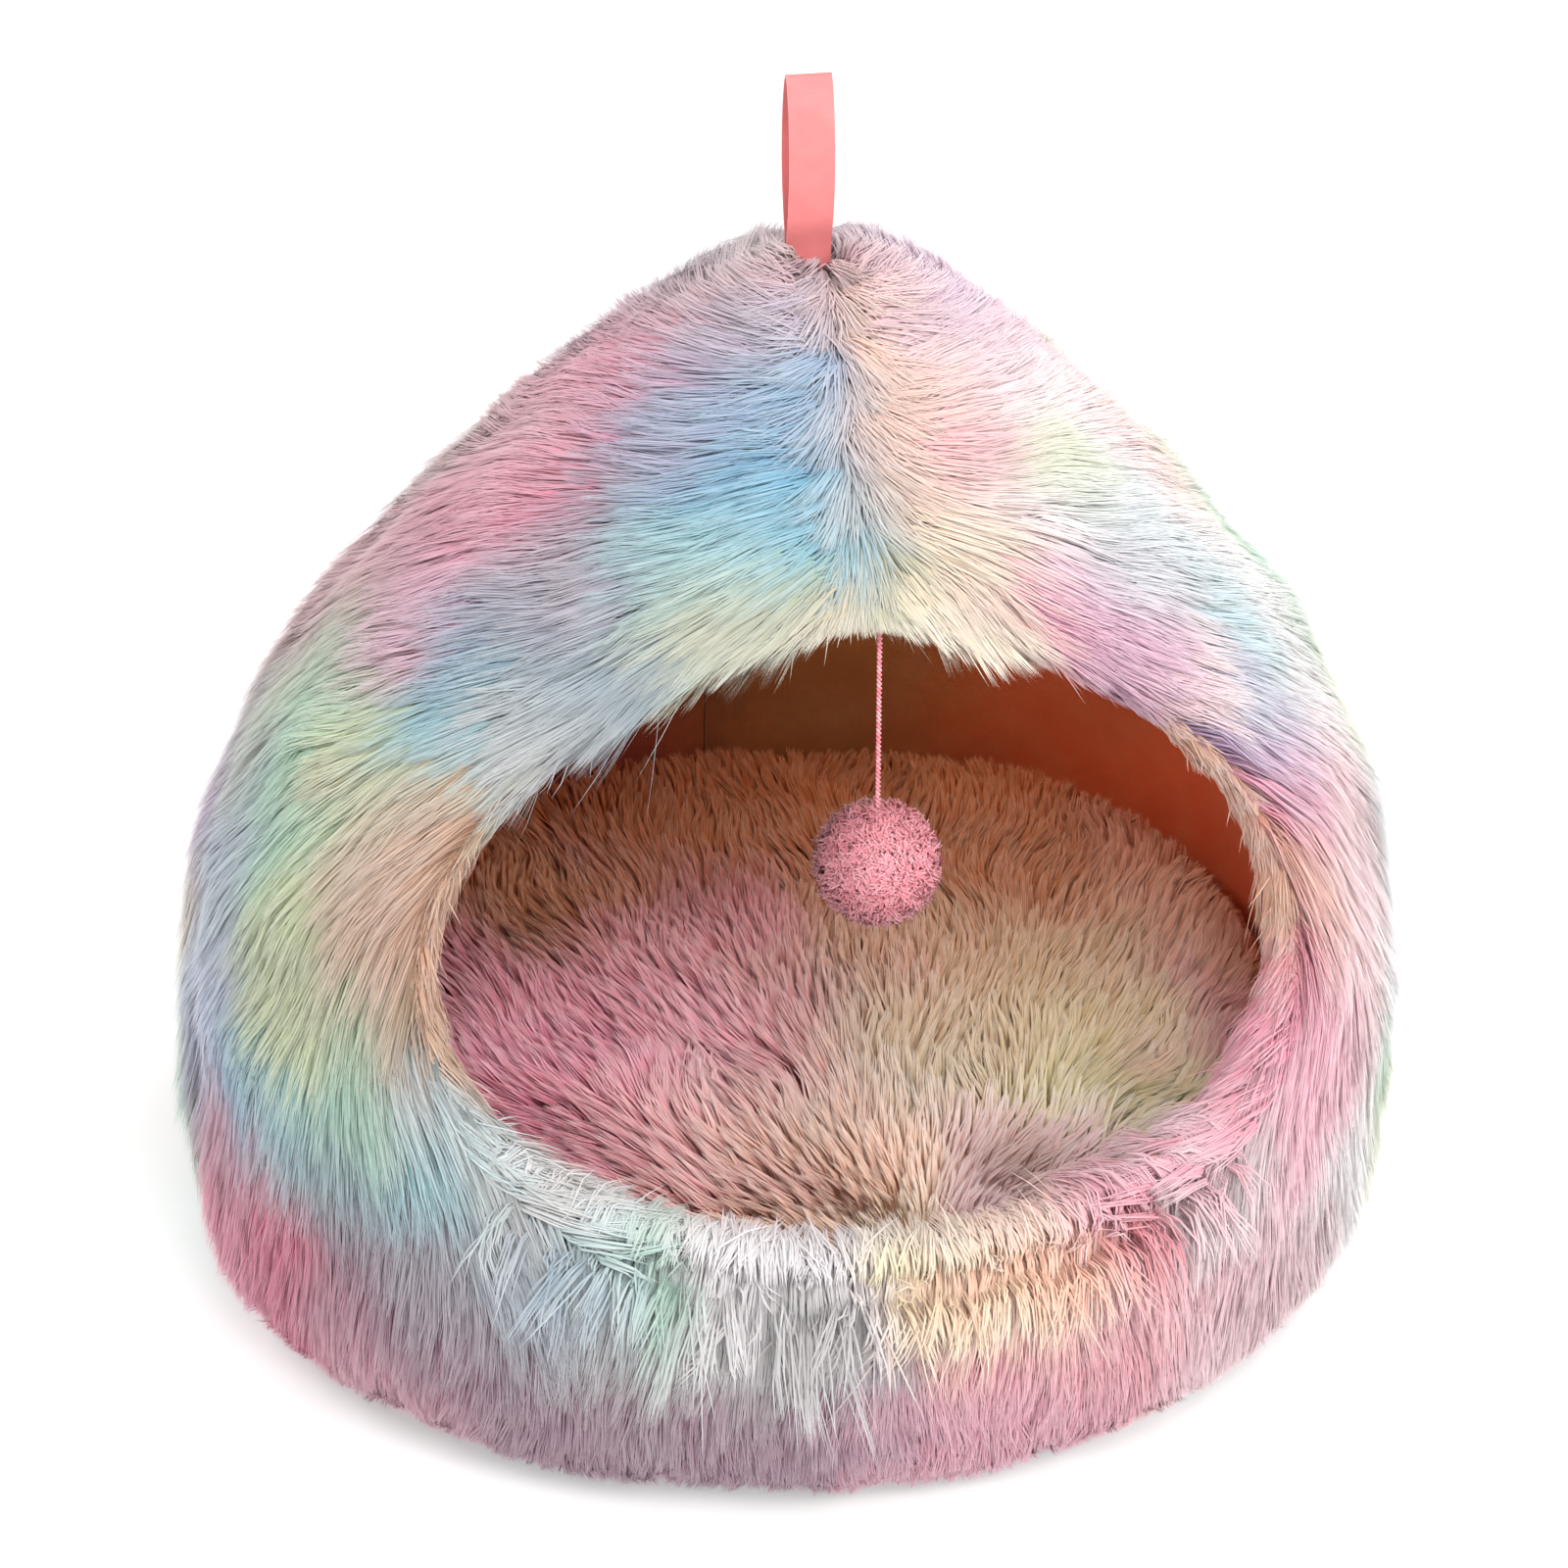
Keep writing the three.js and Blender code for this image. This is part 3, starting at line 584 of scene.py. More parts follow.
def add_pile(name, lines, widths, normals, dye, chance, material, blunt=0.0):
    """Flat strands with pointed roots as one piece. Lines hold each strand's points from root to tip."""
    count, steps, _ = lines.shape
    tangents = unit(np.gradient(lines, axis=1))
    skin = np.repeat(normals[:, None], steps, axis=1)
    across = unit(np.cross(tangents, skin))
    faces_out = unit(np.cross(across, tangents))
    taper = lerp(1.0, blunt, np.clip((np.arange(steps) - 1) / (steps - 2), 0, 1) ** TAPER_POWER)
    half = across * (widths[:, None] * taper / 2)[:, :, None]
    shade = unit(lerp(skin, faces_out, 0.0 if blunt else FLAT_SHARE))
    last = steps - 1
    spots = [(0, 0)] + [(k, s) for k in range(1, last) for s in (-1, 1)]
    spots += [(last, -1), (last, 1)] if blunt else [(last, 0)]
    points = np.stack([lines[:, k] + s * half[:, k] for k, s in spots], axis=1)
    shade = np.stack([shade[:, k] for k, _ in spots], axis=1)
    along = np.array([k / last for k, _ in spots])
    side = np.array([(s + 1) / 2 for _, s in spots])
    size = len(spots)
    triangles = [(0, 2, 1)]
    for left in range(1, size - 3, 2):
        triangles += [(left, left + 1, left + 3), (left, left + 3, left + 2)]
    if not blunt:
        triangles.append((size - 3, size - 2, size - 1))
    corners = (np.arange(count)[:, None, None] * size + np.array(triangles)[None]).reshape(-1)
    mesh = bpy.data.meshes.new(name)
    mesh.vertices.add(count * size)
    mesh.vertices.foreach_set("co", points.astype(np.float32).ravel())
    mesh.loops.add(len(corners))
    mesh.loops.foreach_set("vertex_index", corners.astype(np.int32))
    mesh.polygons.add(len(corners) // 3)
    mesh.polygons.foreach_set("loop_start", np.arange(0, len(corners), 3, dtype=np.int32))
    mesh.update(calc_edges=True)
    columns = math.ceil(math.sqrt(count))
    cell = np.arange(count)
    margin_u, margin_v = CELL_MARGINS
    u = (cell[:, None] % columns + margin_u + (1 - 2 * margin_u) * side[None]) / columns
    v = (cell[:, None] // columns + margin_v + (1 - 2 * margin_v) * along[None]) / columns
    atlas = mesh.uv_layers.new(name="OFBake")
    atlas.data.foreach_set("uv", np.stack([u, v], axis=-1).reshape(-1, 2)[corners].astype(np.float32).ravel())
    paint_pile(mesh, np.repeat(dye, size, axis=0), np.tile(along, count), np.repeat(chance, size))
    mesh.normals_split_custom_set_from_vertices(shade.reshape(-1, 3).astype(np.float32))
    return link_piece(name, mesh, material)


def shell(outer, inner):
    """Points and faces of the closed space between two grids of points."""
    columns, rows, _ = outer.shape
    points = np.concatenate([outer.reshape(-1, 3), inner.reshape(-1, 3)])
    far = columns * rows

    def spot(i, j):
        return i * rows + j

    faces = []
    for i in range(columns - 1):
        for j in range(rows - 1):
            ring = (spot(i, j), spot(i + 1, j), spot(i + 1, j + 1), spot(i, j + 1))
            faces.append(ring)
            faces.append(tuple(far + k for k in reversed(ring)))
    border = [spot(i, 0) for i in range(columns)]
    border += [spot(columns - 1, j) for j in range(1, rows)]
    border += [spot(i, rows - 1) for i in range(columns - 2, -1, -1)]
    border += [spot(0, j) for j in range(rows - 2, 0, -1)]
    for a, b in zip(border, border[1:] + border[:1]):
        faces.append((b, a, far + a, far + b))
    return points, faces


def outward(points, faces):
    """The same faces, turned so that the closed form's volume is positive."""
    volume = 0.0
    for face in faces:
        a, b, c = (points[k] for k in face[:3])
        volume += np.dot(a, np.cross(b, c))
        if len(face) == 4:
            volume += np.dot(a, np.cross(c, points[face[3]]))
    return faces if volume > 0 else [tuple(reversed(face)) for face in faces]


# Materials

def new_material(name, roughness, sheen=0.0, specular=0.3):
    """A material, its nodes and its shader."""
    material = bpy.data.materials.new(name)
    material.use_nodes = True
    shader = material.node_tree.nodes["Principled BSDF"]
    shader.inputs["Roughness"].default_value = roughness
    shader.inputs["Sheen Weight"].default_value = sheen
    shader.inputs["Sheen Roughness"].default_value = 0.45
    shader.inputs["Specular IOR Level"].default_value = specular
    return material, material.node_tree, shader


def node(tree, kind, **inputs):
    """A node with constant inputs."""
    made = tree.nodes.new(kind)
    for key, value in inputs.items():
        made.inputs[key.replace("_", " ")].default_value = value
    return made


def attribute(tree, name, output="Fac"):
    """The socket of a painted value."""
    made = tree.nodes.new("ShaderNodeAttribute")
    made.attribute_name = name
    return made.outputs[output]


def math_node(tree, operation, first, second):
    """A sum or product of two values; each is a socket or a number."""
    made = tree.nodes.new("ShaderNodeMath")
    made.operation = operation
    for socket, value in zip(made.inputs, (first, second)):
        if isinstance(value, (int, float)):
            socket.default_value = value
        else:
            tree.links.new(value, socket)
    return made.outputs[0]


def add_relief(tree, shader, height, strength, distance):
    """Bump from a socket of heights."""
    relief = node(tree, "ShaderNodeBump", Strength=strength, Distance=distance)
    tree.links.new(height, relief.inputs["Height"])
    tree.links.new(relief.outputs["Normal"], shader.inputs["Normal"])


def add_painted_colour(tree, shader, gamma):
    """The painted colour as the base colour, deepened by a socket of gamma: dye, with the painted light and
    shade that some tables hold.
    """
    deepen = tree.nodes.new("ShaderNodeGamma")
    tree.links.new(attribute(tree, "dye", "Color"), deepen.inputs["Color"])
    tree.links.new(gamma, deepen.inputs["Gamma"])
    tree.links.new(deepen.outputs["Color"], shader.inputs["Base Color"])


def cloth_map(tree):
    """The socket of the cloth's own map."""
    place = tree.nodes.new("ShaderNodeUVMap")
    place.uv_map = "cloth"
    return place.outputs["UV"]


def threads(tree, place, direction, width, crooked, detail):
    """The socket of waves across a cloth, as wide as threads."""
    wave = node(tree, "ShaderNodeTexWave", Scale=math.pi / (10 * width), Distortion=crooked, Detail=detail)
    wave.bands_direction = direction
    tree.links.new(place, wave.inputs["Vector"])
    return wave.outputs["Fac"]


def mottling(tree, place, scale, detail):
    """The socket of uneven values across a cloth."""
    noise = node(tree, "ShaderNodeTexNoise", Scale=scale, Detail=detail)
    tree.links.new(place, noise.inputs["Vector"])
    return noise.outputs["Fac"]


# Roughness of pile: the least, and how much chance adds.
PILE_ROUGHNESS = (0.4, 0.25)


def pile_material(name, root_gamma, tip_gamma, spread_gamma, sheen):
    """Pile that is deep and dark at its roots and pale at its tips, uneven from tuft to tuft. The darker
    roots are in part painted shade between the strands.
    """
    material, tree, shader = new_material(name, roughness=0.5, sheen=sheen, specular=0.35)
    chance = attribute(tree, "chance")
    slope = math_node(tree, "MULTIPLY", attribute(tree, "along"), tip_gamma - root_gamma)
    uneven = math_node(tree, "MULTIPLY", chance, spread_gamma)
    add_painted_colour(tree, shader, math_node(tree, "ADD", math_node(tree, "ADD", slope, root_gamma), uneven))
    least, more = PILE_ROUGHNESS
    rough = math_node(tree, "ADD", math_node(tree, "MULTIPLY", chance, more), least)
    tree.links.new(rough, shader.inputs["Roughness"])
    return material


# Gamma of cloth: the least and what its mottling adds, then what its threads add.
CLOTH_WORN = (0.75, 0.5)
CLOTH_THREADS = -0.12


def cloth_material(name, thread, bump, roughness, sheen=0.2):
    """Woven cloth in the painted colours, with threads along its cloth map."""
    material, tree, shader = new_material(name, roughness, sheen)
    place = cloth_map(tree)
    heights = [threads(tree, place, way, thread, crooked=0.6, detail=1.0) for way in ("X", "Y")]
    weave = math_node(tree, "MULTIPLY", *heights)
    mottle = mottling(tree, place, scale=40.0, detail=3.0)
    least, more = CLOTH_WORN
    worn = math_node(tree, "ADD", math_node(tree, "MULTIPLY", mottle, more), least)
    add_painted_colour(tree, shader, math_node(tree, "ADD", worn, math_node(tree, "MULTIPLY", weave, CLOTH_THREADS)))
    add_relief(tree, shader, weave, bump, distance=0.6 * MM)
    return material


PILE = pile_material("plush_pile", root_gamma=1.7, tip_gamma=0.5, spread_gamma=0.25, sheen=0.2)
CUSHION_PILE = pile_material("cushion_pile", root_gamma=1.7, tip_gamma=0.32, spread_gamma=0.3, sheen=0.2)
YARN = pile_material("pompom_yarn", root_gamma=0.9, tip_gamma=0.6, spread_gamma=0.5, sheen=0.3)
# The backing's gamma deepens it all over, in part as painted shade where it shows between strands.
BACKING = pile_material("pile_backing", root_gamma=1.3, tip_gamma=1.3, spread_gamma=0.0, sheen=0.1)
LINING = cloth_material("lining_cloth", thread=1.1 * MM, bump=0.35, roughness=0.7)


# The padded gores and their pile

def dye_rows(*tables):
    """Rows of place, reach and colour from dye tables."""
    return [(*row, colour) for table in tables for colour, rows in table.items() for row in rows]


def wall_spots(rows, depth, spread_out):
    """Places, colours and reaches of colour spots at a depth in the wall: dye with some painted shade on the
    pile, painted light and shade on the lining.
    """
    spots = [wall_point(math.radians(angle), rise_at(height * MM), depth) for angle, height, _, _ in rows]
    return spots, [linear(row[3]) for row in rows], [spread_out * (row[2] * MM) for row in rows]


def back_rows(side):
    """Dye of one half of the back, at turned heights on the left."""
    top = TOP_HEIGHT / MM
    rows = []
    for angle, height, reach, colour in dye_rows(BACK_DYE):
        turned = height if side > 0 else (height + BACK_LEFT_TURN * top) % top
        rows.append((side * angle, turned, reach, colour))
    return rows


WALL_DYE_AND_SHADE = wall_spots(dye_rows(LEFT_DYE_AND_SHADE, RIGHT_DYE) + back_rows(1) + back_rows(-1), 0.0, DYE_REACH)


def wall_dye_and_shade(points):
    """Dye of the wall at points, with borders that wander; low on the front it holds painted shade in part.
    """
    wander = np.stack([waves(points, DYE_WAVE_RUN, DYE_SEED + k) for k in range(3)], axis=-1)
    return blended(points + DYE_WANDER * wander, *WALL_DYE_AND_SHADE)


def comb_turn(angle, rise):
    """Degrees that the pile is turned from straight down, away from the nearer front or back seam."""
    folded = np.minimum(np.abs(angle), math.pi - np.abs(angle))
    spots = [wall_point(math.radians(degrees), rise_at(height * MM), 0.0) for degrees, height, _ in COMB]
    turns = [[turn] for _, _, turn in COMB]
    reaches = [COMB_REACH] * len(COMB)
    return blended(wall_point(folded, rise, 0.0), spots, np.array(turns), reaches)[:, 0]


def gore_places(at, side, count):
    """Places on a gore, as angle and rise: spread evenly, with a few more along its front or back seam."""
    radius, _ = profile(RISE, 0.5)
    span = side_seam(RISE) if at == "front" else math.pi - side_seam(RISE)
    area = np.concatenate([[0], np.cumsum((radius * span)[1:] * np.diff(RISE))])
    u, v = spread(2 * count)
    rise = np.interp(u, area / area[-1], RISE)
    seam = side_seam(rise)
    angle = side * (seam * v if at == "front" else lerp(seam, math.pi, v))
    open_wall = (mouth_distance(angle, rise) > 0) & (rise > HEM_ROOTS)
    angle = angle[open_wall][:count - PILE_SEAM]
    rise = rise[open_wall][:count - PILE_SEAM]
    u, v = spread(4 * PILE_SEAM)
    from_seam = SEAM_PARTING * v / np.maximum(profile(u, 0.5)[0], PILE_LENGTH)
    seam_angle = side * (from_seam if at == "front" else math.pi - from_seam)
    open_seam = (mouth_distance(seam_angle, u) > 0) & (u > HEM_ROOTS)
    seam_angle = seam_angle[open_seam][:PILE_SEAM]
    return np.append(angle, seam_angle), np.append(rise, u[open_seam][:PILE_SEAM])


PILE_LENGTH = 31 * MM
# Loose lengths and how far strands fall short of the pile's height, as shares: by tuft and by strand.
PILE_LOOSE = (0.12, 0.06)
PILE_SHORT = (0.14, 0.22)
# Strands bend at these shares of their length and lift.
PILE_BEND = (0.34, 0.7)
# How far locks and tufts draw their strands together, and the shares of that at the tip and the bend.
PILE_PULLS = (0.1, 0.48)
PILE_PULL_SHARES = ((2, 1.0), (1, 0.4))
PILE_WIDTHS = (0.5, 0.85)
# A strand takes the dye of the place this far along it.
DYED_ALONG = 0.75
# Strands this close to the front or back seam run down along it, loosely, by about so many degrees.
SEAM_PARTING = 3.5 * MM
SEAM_LOOSE = 14
# Loose turns of the comb in degrees: long waves and their run, locks, tufts and single strands.
COMB_WAVE = 6
COMB_WAVE_RUN = 45 * MM
COMB_LOOSE = {"lock": 3, "tuft": 5, "strand": 3}
# Behind the side seams the pile turns less, and the other way round.
BACK_COMB = -0.2
# Pile near the floor stands out a little more at the sides, and ends unevenly above the floor.
HEM_FLARE = 5 * MM
HEM_FLARE_RISE = (0.02, 0.2)
HEM_FLARE_SIDE = (0.5, 0.85)
HEM_ENDS = (0.002, 0.06)
# How uneven its ends are, by lock and by tuft, and how far low ends outnumber high ones.
HEM_RAGGED = (0.4, 0.6)
HEM_LOW = 1.3
# Tips end this far above the floor, in mm: the least, and what chance adds.
FLOOR_CLEAR = (0.6, 2)
# Here and there the hem's pile ends in a notch: rise, run along the hem and how sharply.
HEM_NOTCH = 0.02
HEM_NOTCH_RUN = 18 * MM
HEM_NOTCH_SHARE = (0.5, 1.3)
# The padding is darkened by painted shade up to this rise, so that the gaps in the hem look shaded.
HEM_SHADE_RISE = (0.0, 0.07)
# No pile grows lower than this rise; what covers the hem hangs from above it.
HEM_ROOTS = 0.045
# How far the pile hangs over the mouth's edge: along its lower half, at its top seam, and in locks above,
# from these rises up and as far as the right corner.
HANG_RISE = (-0.03, 0.06)
HANG_LOW = 4 * MM
HANG_SEAM = 9 * MM
HANG_LOCKS = (8 * MM, 26 * MM)
HANG_NOTCH = (4 * MM, 18 * MM)
HANG_RIGHT_END = (math.radians(28), math.radians(40))
# The share of its height that the pile keeps at the mouth's edge, and the overhang over which it loses it.
EDGE_SHARE = 0.6
EDGE_DROP = 14 * MM


def pile_share(distance):
    """The share of its height that the pile has at a distance from the mouth's edge."""
    return lerp(EDGE_SHARE, 1.0, nose_share(distance)) * np.exp(np.minimum(distance, 0) / EDGE_DROP)


# Beside the mouth the pile runs down along the edge: its reach, the rises where that ends, and how steep the
# edge must be.
EDGE_COMB_REACH = 26 * MM
EDGE_COMB_RISE = (0.0, 0.1)
EDGE_COMB_STEEP = (0.25, 0.7)


def edge_comb(angle, rise, turn, side):
    """Turns of the comb in degrees, led along the mouth's edge beside the mouth."""
    step = 1e-3
    distance = mouth_distance(angle, rise)
    radius = np.maximum(profile(rise, 0.5)[0], PILE_LENGTH)
    across = (mouth_distance(angle + step, rise) - mouth_distance(angle - step, rise)) / (2 * step * radius)
    up = (mouth_distance(angle, rise + step) - mouth_distance(angle, rise - step)) / (2 * step * WALL_RUN)
    steep = np.abs(across) / np.maximum(np.hypot(across, up), 1e-9)
    along = np.degrees(np.arctan2(side * np.sign(across) * up, np.abs(across)))
    share = np.exp(-((distance / EDGE_COMB_REACH) ** 2)) * smoothstep(steep, *EDGE_COMB_STEEP)
    return lerp(turn, along, share * (1 - smoothstep(rise - MOUTH_RISE, *EDGE_COMB_RISE)))


def wall_strands(angle, rise, side, at, seed):
    """Lines of strands that rise from the wall's middle and lie over along the comb."""
    rng = np.random.default_rng(seed)
    count = len(angle)
    roots = wall_point(angle, rise, 0.5)
    tufts, locks, tuft, lock = tufts_and_locks(roots)
    turn = comb_turn(angle, rise) + COMB_WAVE * waves(roots, COMB_WAVE_RUN, seed)
    turn = edge_comb(angle, rise, turn, side)
    turn += COMB_LOOSE["lock"] * rng.normal(size=locks)[lock]
    turn += COMB_LOOSE["tuft"] * rng.normal(size=tufts)[tuft]
    turn += COMB_LOOSE["strand"] * rng.normal(size=count)
    radius, _ = profile(rise, 0.5)
    from_seam = radius * np.minimum(np.abs(angle), math.pi - np.abs(angle))
    beside = np.exp(-((from_seam / SEAM_PARTING) ** 2))
    turn = lerp(turn, SEAM_LOOSE * rng.normal(size=count), beside)
    turn = np.radians(turn) * side * (1 if at == "front" else BACK_COMB)
    loose = PILE_LOOSE[0] * rng.normal(size=tufts)[tuft] + PILE_LOOSE[1] * rng.normal(size=count)
    length = PILE_LENGTH * (1 + loose)
    short = PILE_SHORT[0] * rng.random(tufts)[tuft] ** 2 + PILE_SHORT[1] * rng.random(count) ** 3
    ragged = HEM_RAGGED[0] * rng.random(locks)[lock] + HEM_RAGGED[1] * rng.random(tufts)[tuft]
    hem_end = lerp(*HEM_ENDS, ragged**HEM_LOW)
    notch = waves(wall_point(angle, 0 * rise, 0.5), HEM_NOTCH_RUN, seed + 7)
    hem_end = hem_end + HEM_NOTCH * smoothstep(notch, *HEM_NOTCH_SHARE)
    over = -mouth_distance(angle + np.sin(turn) * length / np.maximum(radius, PILE_LENGTH),
                           rise - np.cos(turn) * length / WALL_RUN)
    above = smoothstep(rise - MOUTH_RISE, *HANG_RISE)
    if side > 0:
        above = above * (1 - smoothstep(np.abs(angle), *HANG_RIGHT_END))
    hang = lerp(HANG_SEAM, lerp(*HANG_LOCKS, rng.random(locks)[lock]), smoothstep(from_seam, *HANG_NOTCH))
    allowed = lerp(HANG_LOW, hang, above)
    length = length - np.maximum(over - allowed, 0)

    def place(share, lift):
        far_angle = angle + np.sin(turn) * length * share / np.maximum(radius, PILE_LENGTH)
        far_rise = np.maximum(rise - np.cos(turn) * length * share / WALL_RUN, hem_end * lift)
        flare = HEM_FLARE / WALL_THICKNESS * (1 - smoothstep(far_rise, *HEM_FLARE_RISE))
        flare = flare * smoothstep(np.abs(np.sin(far_angle)), *HEM_FLARE_SIDE)
        distance = mouth_distance(far_angle, far_rise)
        outer = 0.5 - pile_share(distance) * (0.5 + flare - pile_dip(far_angle, far_rise) - short)
        return wall_point(far_angle, far_rise, lerp(0.5, outer, lift))

    lines = np.stack([roots, place(*PILE_BEND), place(1.0, 1.0)], axis=1)
    gather(lines, zip((lock, tuft), PILE_PULLS), PILE_PULL_SHARES, rng)
    lines[:, 2, 2] = np.maximum(lines[:, 2, 2], MM * (FLOOR_CLEAR[0] + FLOOR_CLEAR[1] * rng.random(count)))
    return lines, wall_normal(angle, rise), tuft_chance(rng, tufts, tuft)


# The share of a front grid's columns that end on the side seam, and how its rows crowd toward the mouth.
GRID_CORNER = 18 / 28
GRID_CROWDING = 1.4


def front_grid(side, steps, rows, start):
    """A front gore as a grid from the mouth's edge out: angle, rise and distance from the edge."""
    corner = round(steps * GRID_CORNER)
    share = np.linspace(0, 1, steps + 1)
    rim_angle, rim_rise = mouth_edge(share, side)
    k = np.arange(steps + 1)
    down = np.clip(1 - k / corner, 0, 1)
    along = np.clip((k - corner) / (steps - corner), 0, 1)
    far_rise = np.where(k <= corner, down, 0.0)
    far_angle = side * side_seam(far_rise) * (1 - along)
    far_angle[0] = 0
    gap = wall_point(rim_angle, rim_rise, 0.5) - wall_point(far_angle, far_rise, 0.5)
    length = np.linalg.norm(gap, axis=1)
    reach = np.linspace(0, 1, rows + 1)[None] ** GRID_CROWDING
    distance = start + (length - start)[:, None] * reach
    out = distance / length[:, None]
    angle = lerp(rim_angle[:, None], far_angle[:, None], out)
    rise = lerp(rim_rise[:, None], far_rise[:, None], out)
    return angle, rise, distance


def back_grid(side, steps, rows):
    """A back gore as a grid, with no mouth near it: angle, rise and distance from the edge."""
    rise = np.repeat(np.linspace(0, 1, rows + 1)[None], steps + 1, axis=0)
    share = np.linspace(0, 1, steps + 1)[:, None]
    angle = side * lerp(side_seam(rise), math.pi, share)
    return angle, rise, np.full_like(rise, np.inf)


def gore_grid(at, side, sizes, start):
    """The grid of a gore, with so many steps and rows, from so far inside the mouth's edge."""
    return front_grid(side, *sizes[at], start) if at == "front" else back_grid(side, *sizes[at])


# The way that a gore faces, from the front.
GORE_MIDDLE = {"front": math.radians(45), "back": math.radians(135)}


def set_out(points, at, side):
    """A gore's points moved out along its own middle, so that the seams stay a hair apart."""
    middle = side * GORE_MIDDLE[at]
    return points + SEAM_SET_OUT * np.array([math.sin(middle), -math.cos(middle), 0.0])


# The padding ends this far inside the mouth's edge, under the pile.
PAD_EDGE = 2.5 * MM
# Steps and rows of its grid.
PAD_GRID = {"front": (56, 20), "back": (26, 36)}
# How far painted shade darkens the padding at the floor.
PAD_PAINTED_SHADE = 0.25
GORE_SEEDS = {"front_left": 11, "front_right": 12, "back_left": 13, "back_right": 14}
GORE_STRANDS = {"front": PILE_FRONT, "back": PILE_BACK}


def make_gore(at, word):
    """A gore's padding and its pile."""
    side = SIDES[word]
    node_name = f"gore_{at}_{word}"
    angle, rise, distance = gore_grid(at, side, PAD_GRID, PAD_EDGE)
    outer = set_out(wall_point(angle, rise, 0.5), at, side)
    inner = set_out(wall_point(angle, rise, face_depth(distance)), at, side)
    points, faces = shell(outer, inner)
    body = add_piece(f"{node_name}_pad", points, outward(points, faces), BACKING)
    dye = wall_dye_and_shade(points)
    far_in = smoothstep(distance.reshape(-1, 1), PAD_EDGE, NOSE)
    dye[len(points) // 2:] = lerp(dye[:len(points) // 2], linear("shell"), far_in)
    # Painted shade: the padding darkens toward the floor.
    dye *= np.tile(lerp(PAD_PAINTED_SHADE, 1.0, smoothstep(rise.reshape(-1, 1), *HEM_SHADE_RISE)), (2, 1))
    paint_pile(body.data, dye, np.zeros(len(points)), np.zeros(len(points)))
    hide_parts(node_name)
    seed = GORE_SEEDS[f"{at}_{word}"]
    angle, rise = gore_places(at, side, GORE_STRANDS[at])
    lines, normals, chance = wall_strands(angle, rise, side, at, seed)
    lines = set_out(lines, at, side)
    rng = np.random.default_rng(seed + 100)
    widths = rng.uniform(*PILE_WIDTHS, len(lines)) * MM
    dye = wall_dye_and_shade(lerp(lines[:, 0], lines[:, 2], DYED_ALONG))
    pile = add_pile(f"{node_name}_pile", lines, widths, normals, dye, chance, PILE)
    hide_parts(node_name)


# Pile round the mouth: it hangs over the top and the sides, and parts into a ridge along the lip.
RIM_LIP = {"left": (0.62, 0.94), "right": (0.66, 0.95)}
RIM_INNER_BEND = math.radians(25)
RIM_SUNK = 3 * MM
# Its outermost roots lie deeper, under the wall's pile: bends and depth.
RIM_ROOTS = (math.radians(-85), math.radians(-25))
RIM_ROOT_DEPTH = 9 * MM
RIM_PARTING = math.radians(-62)
# How it grows, from the mouth's top, 0, round to its bottom, 1: turn, bend of its outermost roots in degrees,
# length in mm, and how far it follows the edge and crosses it inward as shares of the length.
RIM_COURSE = {
    "left": (
        (0.0, -15, 8, 0.0, 0.0),
        (0.05, -15, 14, 0.0, 0.0),
        (0.1, -15, 20, 0.0, 0.0),
        (0.24, -15, 22, 0.1, 0.0),
        (0.36, -10, 16, 1.0, 0.1),
        (0.6, -15, 18, 1.0, 0.1),
        (0.72, -50, 20, 1.0, 0.2),
        (0.85, -88, 20, 1.0, 0.3),
        (1.0, -88, 20, 1.0, 0.3),
    ),
    "right": (
        (0.0, -15, 8, 0.0, 0.0),
        (0.05, -15, 13, 0.0, 0.0),
        (0.1, -15, 18, 0.0, 0.0),
        (0.24, -15, 12, 0.4, 0.0),
        (0.34, -10, 11, 1.0, 0.0),
        (0.56, -15, 18, 1.0, 0.1),
        (0.68, -50, 18, 1.0, 0.4),
        (0.85, -88, 18, 1.0, 0.35),
        (1.0, -88, 20, 1.0, 0.3),
    ),
}
# Length of half the mouth's edge.
RIM_RUN = 390 * MM
# The bare hem of the lining shows along part of the right edge: turns at which it begins and ends.
RIM_HEM = (0.3, 0.36, 0.54, 0.62)
RIM_FALL_LENGTH = 32 * MM
RIM_STAND_LENGTH = {"left": 20 * MM, "right": 18 * MM}
# Over the lip the pile lies inward: its share inward and up, past the top of the edge.
RIM_STAND_WAY = (0.95, -0.15)
# Where the lip begins, at the sides, it slants along the edge: turns and share.
RIM_SLANT_TURNS = (0.68, 0.95)
RIM_SLANT = 1.2
# Strands of the rim point by point: share of the length, lift where they hang, fall and lie inward.
RIM_SHAPE = (
    (0.0, 0 * MM, 0 * MM, 0 * MM),
    (0.25, 1.5 * MM, 3.5 * MM, 2.5 * MM),
    (0.62, 2 * MM, 5 * MM, 3.5 * MM),
    (1.0, 1.8 * MM, 4 * MM, 3 * MM),
)
# Wisps are a few strands that no tuft holds. How far wisps and the others stray.
WISP_SHARE = 0.03
WISP_STRAY = (0.22, 0.08)
# How uneven the strands' lengths are, as shares: by lock, tuft and strand, and the least and the most.
RIM_RAGGED = (0.3, 0.14, 0.07)
RIM_RAGGED_ENDS = (0.45, 1.4)
# Loose turns of the comb in degrees, of the parting, sideways and across, by tuft.
RIM_COMB_LOOSE = 8
RIM_PARTING_LOOSE = math.radians(10)
RIM_SWAY = 0.22
RIM_CROSS_LOOSE = 0.2
# How far a tuft's lift may be from its usual one: the least, and what chance adds.
RIM_LOFT = (0.3, 1.5)
RIM_PULLS = (0.2, 0.45)
RIM_PULL_SHARES = ((3, 1.0), (2, 0.6), (1, 0.25))
RIM_WIDTHS = (0.45, 0.75)
# The pile that lies inward over the lip is paler, and the bare hem shows through.
LIP_PALE = 0.25
HEM_BARE = 0.8
# The turns where its strands begin and end, just short of the seams.
RIM_ENDS = (0.001, 0.999)
RIM_SEED = 31


